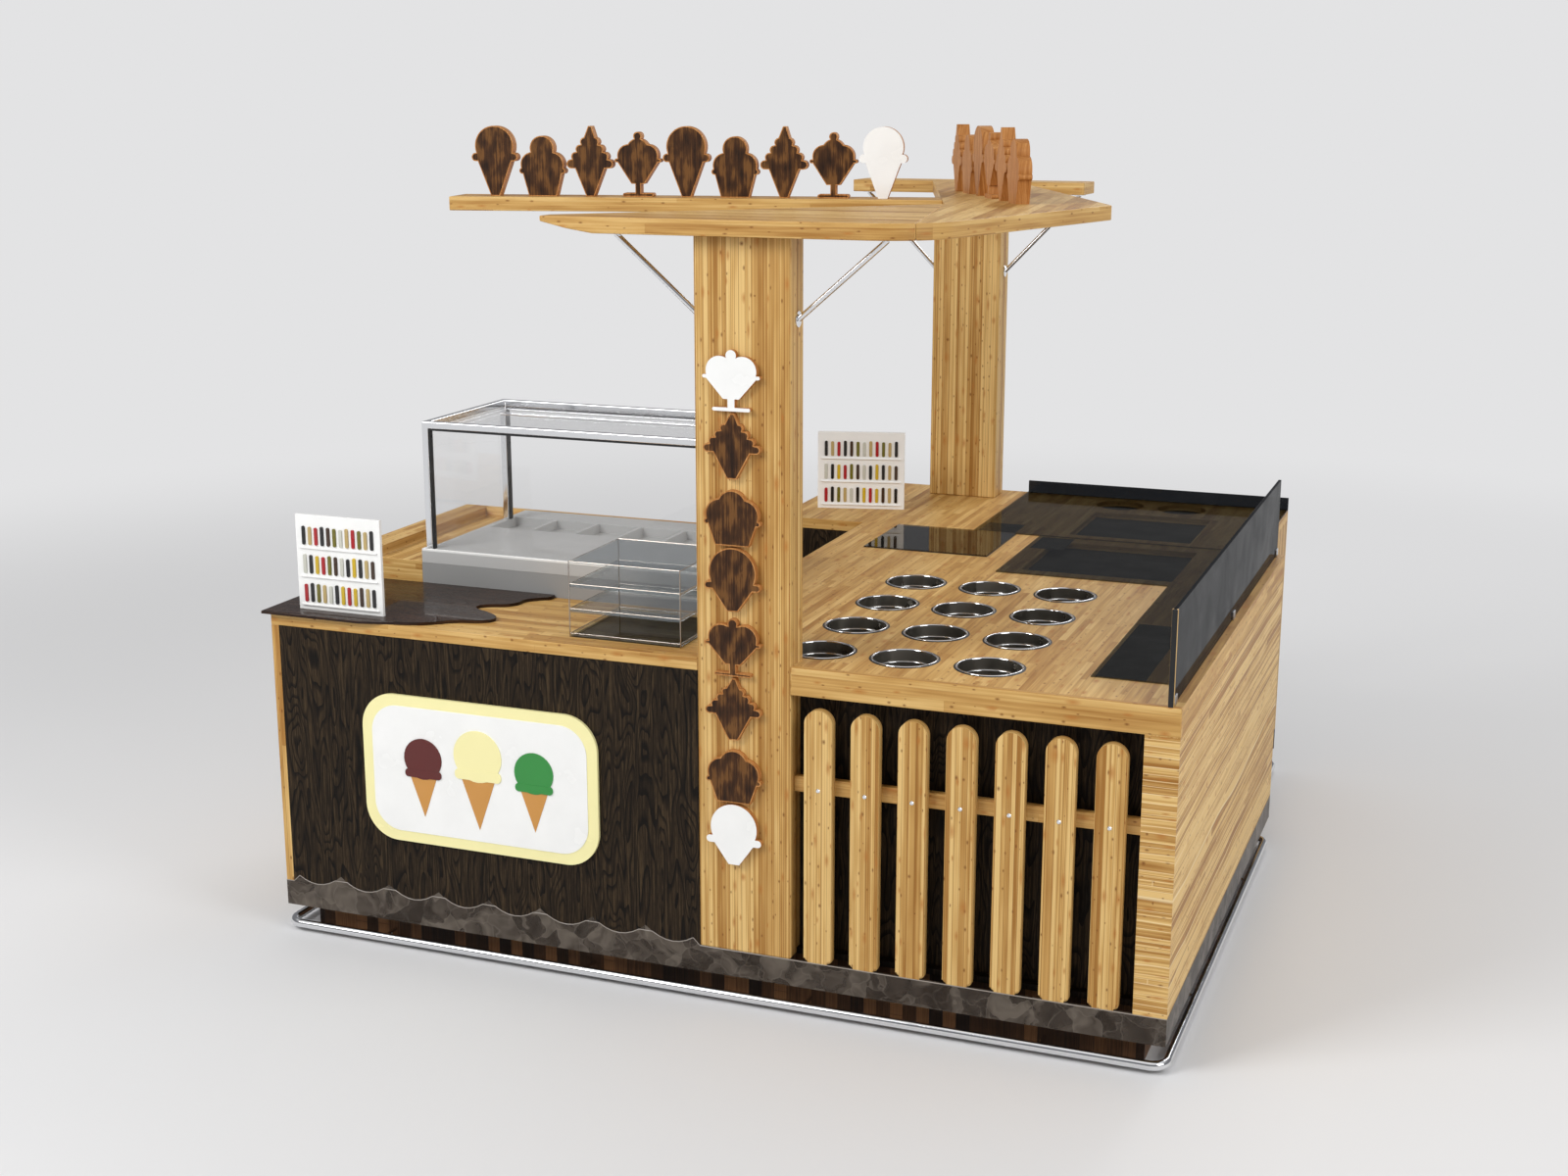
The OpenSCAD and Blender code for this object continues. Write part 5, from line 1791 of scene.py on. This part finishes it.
@dataclass
class CounterItems(Assembly):
    """The flavour boards and the clear organizer.

    Attributes:
        rows: Rows of samples on a board.
        columns: Samples in a row.
        bar: Width of a sample.
        bar_depth: How far a sample stands out.
        bar_share: Height of the shortest sample, as a share of a row's.
        side_margin: Bare share of a board's width at each side.
        foot_margin: Bare share of its height below.
        rows_share: Share of its height that the rows fill.
        order: The samples of each row, from the lowest up: a letter of SAMPLE_LETTERS for each.
        right_width: Width of the right board.
        right_turn: Its turn in plan, in degrees.
        post: Radius of the organizer's posts.
        wire: Radius of the wire along its trays' edges.
        lip: Height of its trays' edges.
        wall: Thickness of the edges.
        inset: How far the trays lie inside the organizer's box.
        levels: How many trays it has.
    """

    rows: int = 3
    columns: int = 12
    bar: float = 11.5 * MM
    bar_depth: float = 4 * MM
    bar_share: float = 0.62
    side_margin: float = 0.06
    foot_margin: float = 0.07
    rows_share: float = 0.9
    order: tuple[str, ...] = ("rkobpkyrynbk", "pkyronpkykbn", "kbrknopbrobk")
    right_width: float = 335 * MM
    right_turn: float = 14.0
    post: float = 1.7 * MM
    wire: float = 1.1 * MM
    lip: float = 12 * MM
    wall: float = 2.5 * MM
    inset: float = 5 * MM
    levels: int = 4

    def board(self, node: str, corner: Vector, width: float, height: float, turn: float) -> None:
        """Makes one board with its samples and ledges.

        Args:
            node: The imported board.
            corner: Its lower left corner at the front.
            width: Its width.
            height: Its height.
            turn: Its turn in plan, in radians.
        """
        f = self.finishes
        place = Matrix.Translation(corner) @ Matrix.Rotation(turn, 4, "Z") @ standing(0)
        self.ease(node, f.white, "white_board", 1.2 * MM)
        samples, ledges = Shape(), Shape()
        margin = self.side_margin * width
        pitch_x = (width - 2 * margin) / self.columns
        pitch_z = self.rows_share * height / self.rows
        half = self.bar / 2
        for r, letters in enumerate(self.order):
            base = self.foot_margin * height + r * pitch_z
            ends = (margin * 0.7, base - 7 * MM), (width - margin * 0.7, base - 3 * MM)
            ledges.prism(rounded_rectangle(*ends, 1.5 * MM, 3), 0, 6 * MM, 0.8 * MM, 1, place=place)
            foot = base + 4 * MM
            for c, letter in enumerate(letters):
                x = margin + (c + 0.5) * pitch_x
                crest = foot + self.bar_share * pitch_z + (c * 7 + r * 3) % 4 * 1.5 * MM
                outline = rounded_rectangle((x - half, foot), (x + half, crest), self.bar * 0.42, 4)
                samples.prism(outline, 0, self.bar_depth, 1.2 * MM, 2, finish=SAMPLE_LETTERS.index(letter),
                              place=place)
        self.make(node + "_samples", samples, f.samples, "white_board")
        self.make(node + "_ledges", ledges, f.white, "white_board")

    def organizer(self) -> None:
        """Makes the clear organizer: thin posts and trays with turned-up edges."""
        f = self.finishes
        low, high = box_of("clear_organizer")
        trays, wires, foot = Shape(), Shape(), Shape()
        inset, wall, top = self.inset, self.wall, self.levels - 1
        rise = (high.z - low.z - 5 * MM) / top
        left, right, near, far = low.x + inset, high.x - inset, low.y + inset, high.y - inset
        sides = (((left, near), (right, near + wall)), ((left, far - wall), (right, far)),
                 ((left, near), (left + wall, far)), ((right - wall, near), (right, far)))
        for level in range(self.levels):
            z = low.z + level * rise
            shelf = trays if level else foot
            shelf.block((left, near, z + 0.5 * MM), (right, far, z + 4 * MM), 0.8 * MM, 1)
            lip = z + (self.lip if level < top else 4.5 * MM)
            for a, b in sides:
                trays.block((*a, z + 4 * MM), (*b, lip), 0.5 * MM, 1)
            plan = ((left, near), (right, near), (right, far), (left, far), (left, near))
            ring = [Vector((*corner, lip)) for corner in plan]
            for a, b in zip(ring, ring[1:]):
                wires.tube([a, b], self.wire, 8)
        for x in (low.x + 4 * MM, high.x - 4 * MM):
            for y in (low.y + 4 * MM, high.y - 4 * MM):
                wires.tube([Vector((x, y, low.z)), Vector((x, y, high.z))], self.post, 12)
        self.make("clear_organizer_trays", trays, f.clear_acrylic, "clear_glass", ["clear_organizer"])
        self.make("clear_organizer_foot", foot, f.dark_glass, "clear_glass")
        self.make("clear_organizer_wires", wires, f.nickel, "chrome_tube")

    def build(self) -> None:
        """Makes the pieces on the counters."""
        low, high = box_of("flavour_board_left")
        self.board("flavour_board_left", low, high.x - low.x, high.z - low.z, 0.0)
        low, high = box_of("flavour_board_right")
        corners = (v.co for v in self.nodes["flavour_board_right"].data.vertices)
        corner = min(corners, key=lambda c: c.y).copy()
        corner.z = low.z
        turn = math.radians(self.right_turn)
        self.board("flavour_board_right", corner, self.right_width, high.z - low.z, turn)
        self.organizer()


@dataclass
class Studio:
    """The pale floor, the soft lamps and the camera.

    Attributes:
        eye: The camera's place.
        pitch: How far the camera looks down, in radians.
        yaw: The camera's turn, in radians.
        lens: Focal length in millimetres.
        sky: Strength of the light from all round.
        backdrop: Colour of what the camera sees beyond the floor.
        room: Colour of the room that mirrors show above the horizon.
        ceiling: Colour of its ceiling.
    """

    eye: tuple[float, float, float] = (2.2746, -6.4746, 2.6114)
    pitch: float = 0.2387
    yaw: float = 0.3688
    lens: float = 46.63
    sky: float = 0.55
    backdrop: str = "#e3e3e4"
    room: str = "#77777a"
    ceiling: str = "#f4f4f4"

    def camera(self) -> None:
        """Makes the camera and sets it as the scene's."""
        data = bpy.data.cameras.new("camera")
        data.lens = self.lens
        data.sensor_width = 36.0
        data.clip_end = 200.0
        camera = bpy.data.objects.new("camera", data)
        camera.location = self.eye
        camera.rotation_euler = (math.pi / 2 - self.pitch, 0.0, self.yaw)
        bpy.context.scene.collection.objects.link(camera)
        bpy.context.scene.camera = camera

    def floor(self) -> None:
        """Makes the floor, a wide disc just under the kiosk."""
        mesh = bpy.data.meshes.new("studio_floor")
        disc = bmesh.new()
        bmesh.ops.create_circle(disc, cap_ends=True, segments=96, radius=60.0)
        disc.to_mesh(mesh)
        disc.free()
        mesh.materials.append(StudioFloor("matt_studio_paint", self.backdrop).build())
        floor = bpy.data.objects.new("studio_floor", mesh)
        bpy.context.scene.collection.objects.link(floor)

    def sky_light(self) -> None:
        """Sets the even light from all round and what rays that leave the studio see."""
        world = bpy.data.worlds.new("studio")
        bpy.context.scene.world = world
        world.use_nodes = True
        world.node_tree.nodes.clear()
        add = partial(add_node, world.node_tree)
        view = add("TexCoord").outputs["Generated"]
        height = add("SeparateXYZ", [view]).outputs["Z"]
        # what bright metal and glass mirror: a pale horizon, a dim room above it and a bright ceiling
        room = add("ValToRGB", [height], stops=[
            (0.06, self.backdrop), (0.2, self.room), (0.6, self.room), (0.9, self.ceiling)])
        straight = add("LightPath").outputs["Is Camera Ray"]
        picture = add("Mix", {0: straight, 6: room, 7: self.backdrop}, data_type="RGBA")
        light = add("Background", ["#ffffff", self.sky])
        shown = add("Background", [picture, 1.0])
        add("OutputWorld", [add("MixShader", [seen_rays(add), light, shown])])

    def lamp(self, name: str, place: tuple[float, float, float], power: float, size: float) -> None:
        """Hangs a soft square lamp that looks at the kiosk.

        Args:
            name: The lamp's name.
            place: Where it hangs.
            power: Its power in watts.
            size: Its side in metres.
        """
        data = bpy.data.lights.new(name, "AREA")
        data.energy, data.size = power, size
        lamp = bpy.data.objects.new(name, data)
        lamp.location = place
        lamp.rotation_euler = (Vector((0, 0, 1.0)) - Vector(place)).to_track_quat("-Z", "Y").to_euler()
        bpy.context.scene.collection.objects.link(lamp)

    def build(self) -> None:
        """Sets up the studio."""
        self.floor()
        self.sky_light()
        self.lamp("key", (-3.4, -5.6, 5.4), 285.0, 3.2)
        self.lamp("fill", (5.6, -3.0, 3.8), 130.0, 3.0)
        self.lamp("back", (1.5, 6.0, 5.5), 140.0, 3.0)
        bpy.context.scene.view_settings.view_transform = "Standard"


def main() -> None:
    """Builds the whole scene."""
    logging.basicConfig(level=logging.INFO, format="%(name)s %(message)s")
    studio = Studio()
    studio.camera()
    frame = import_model()
    finishes = Finishes()
    pieces = 0
    for kind in (Base, LeftCounter, DisplayUnit, Fence, RightCounter, BackCounter, Canopy, Signs,
                 CounterItems):
        assembly = kind(frame["nodes"], finishes)
        assembly.build()
        pieces += assembly.pieces
        LOG.info("%s done", kind.__name__)
    studio.build()
    LOG.info("%d pieces", pieces)


if __name__ == "__main__":
    main()
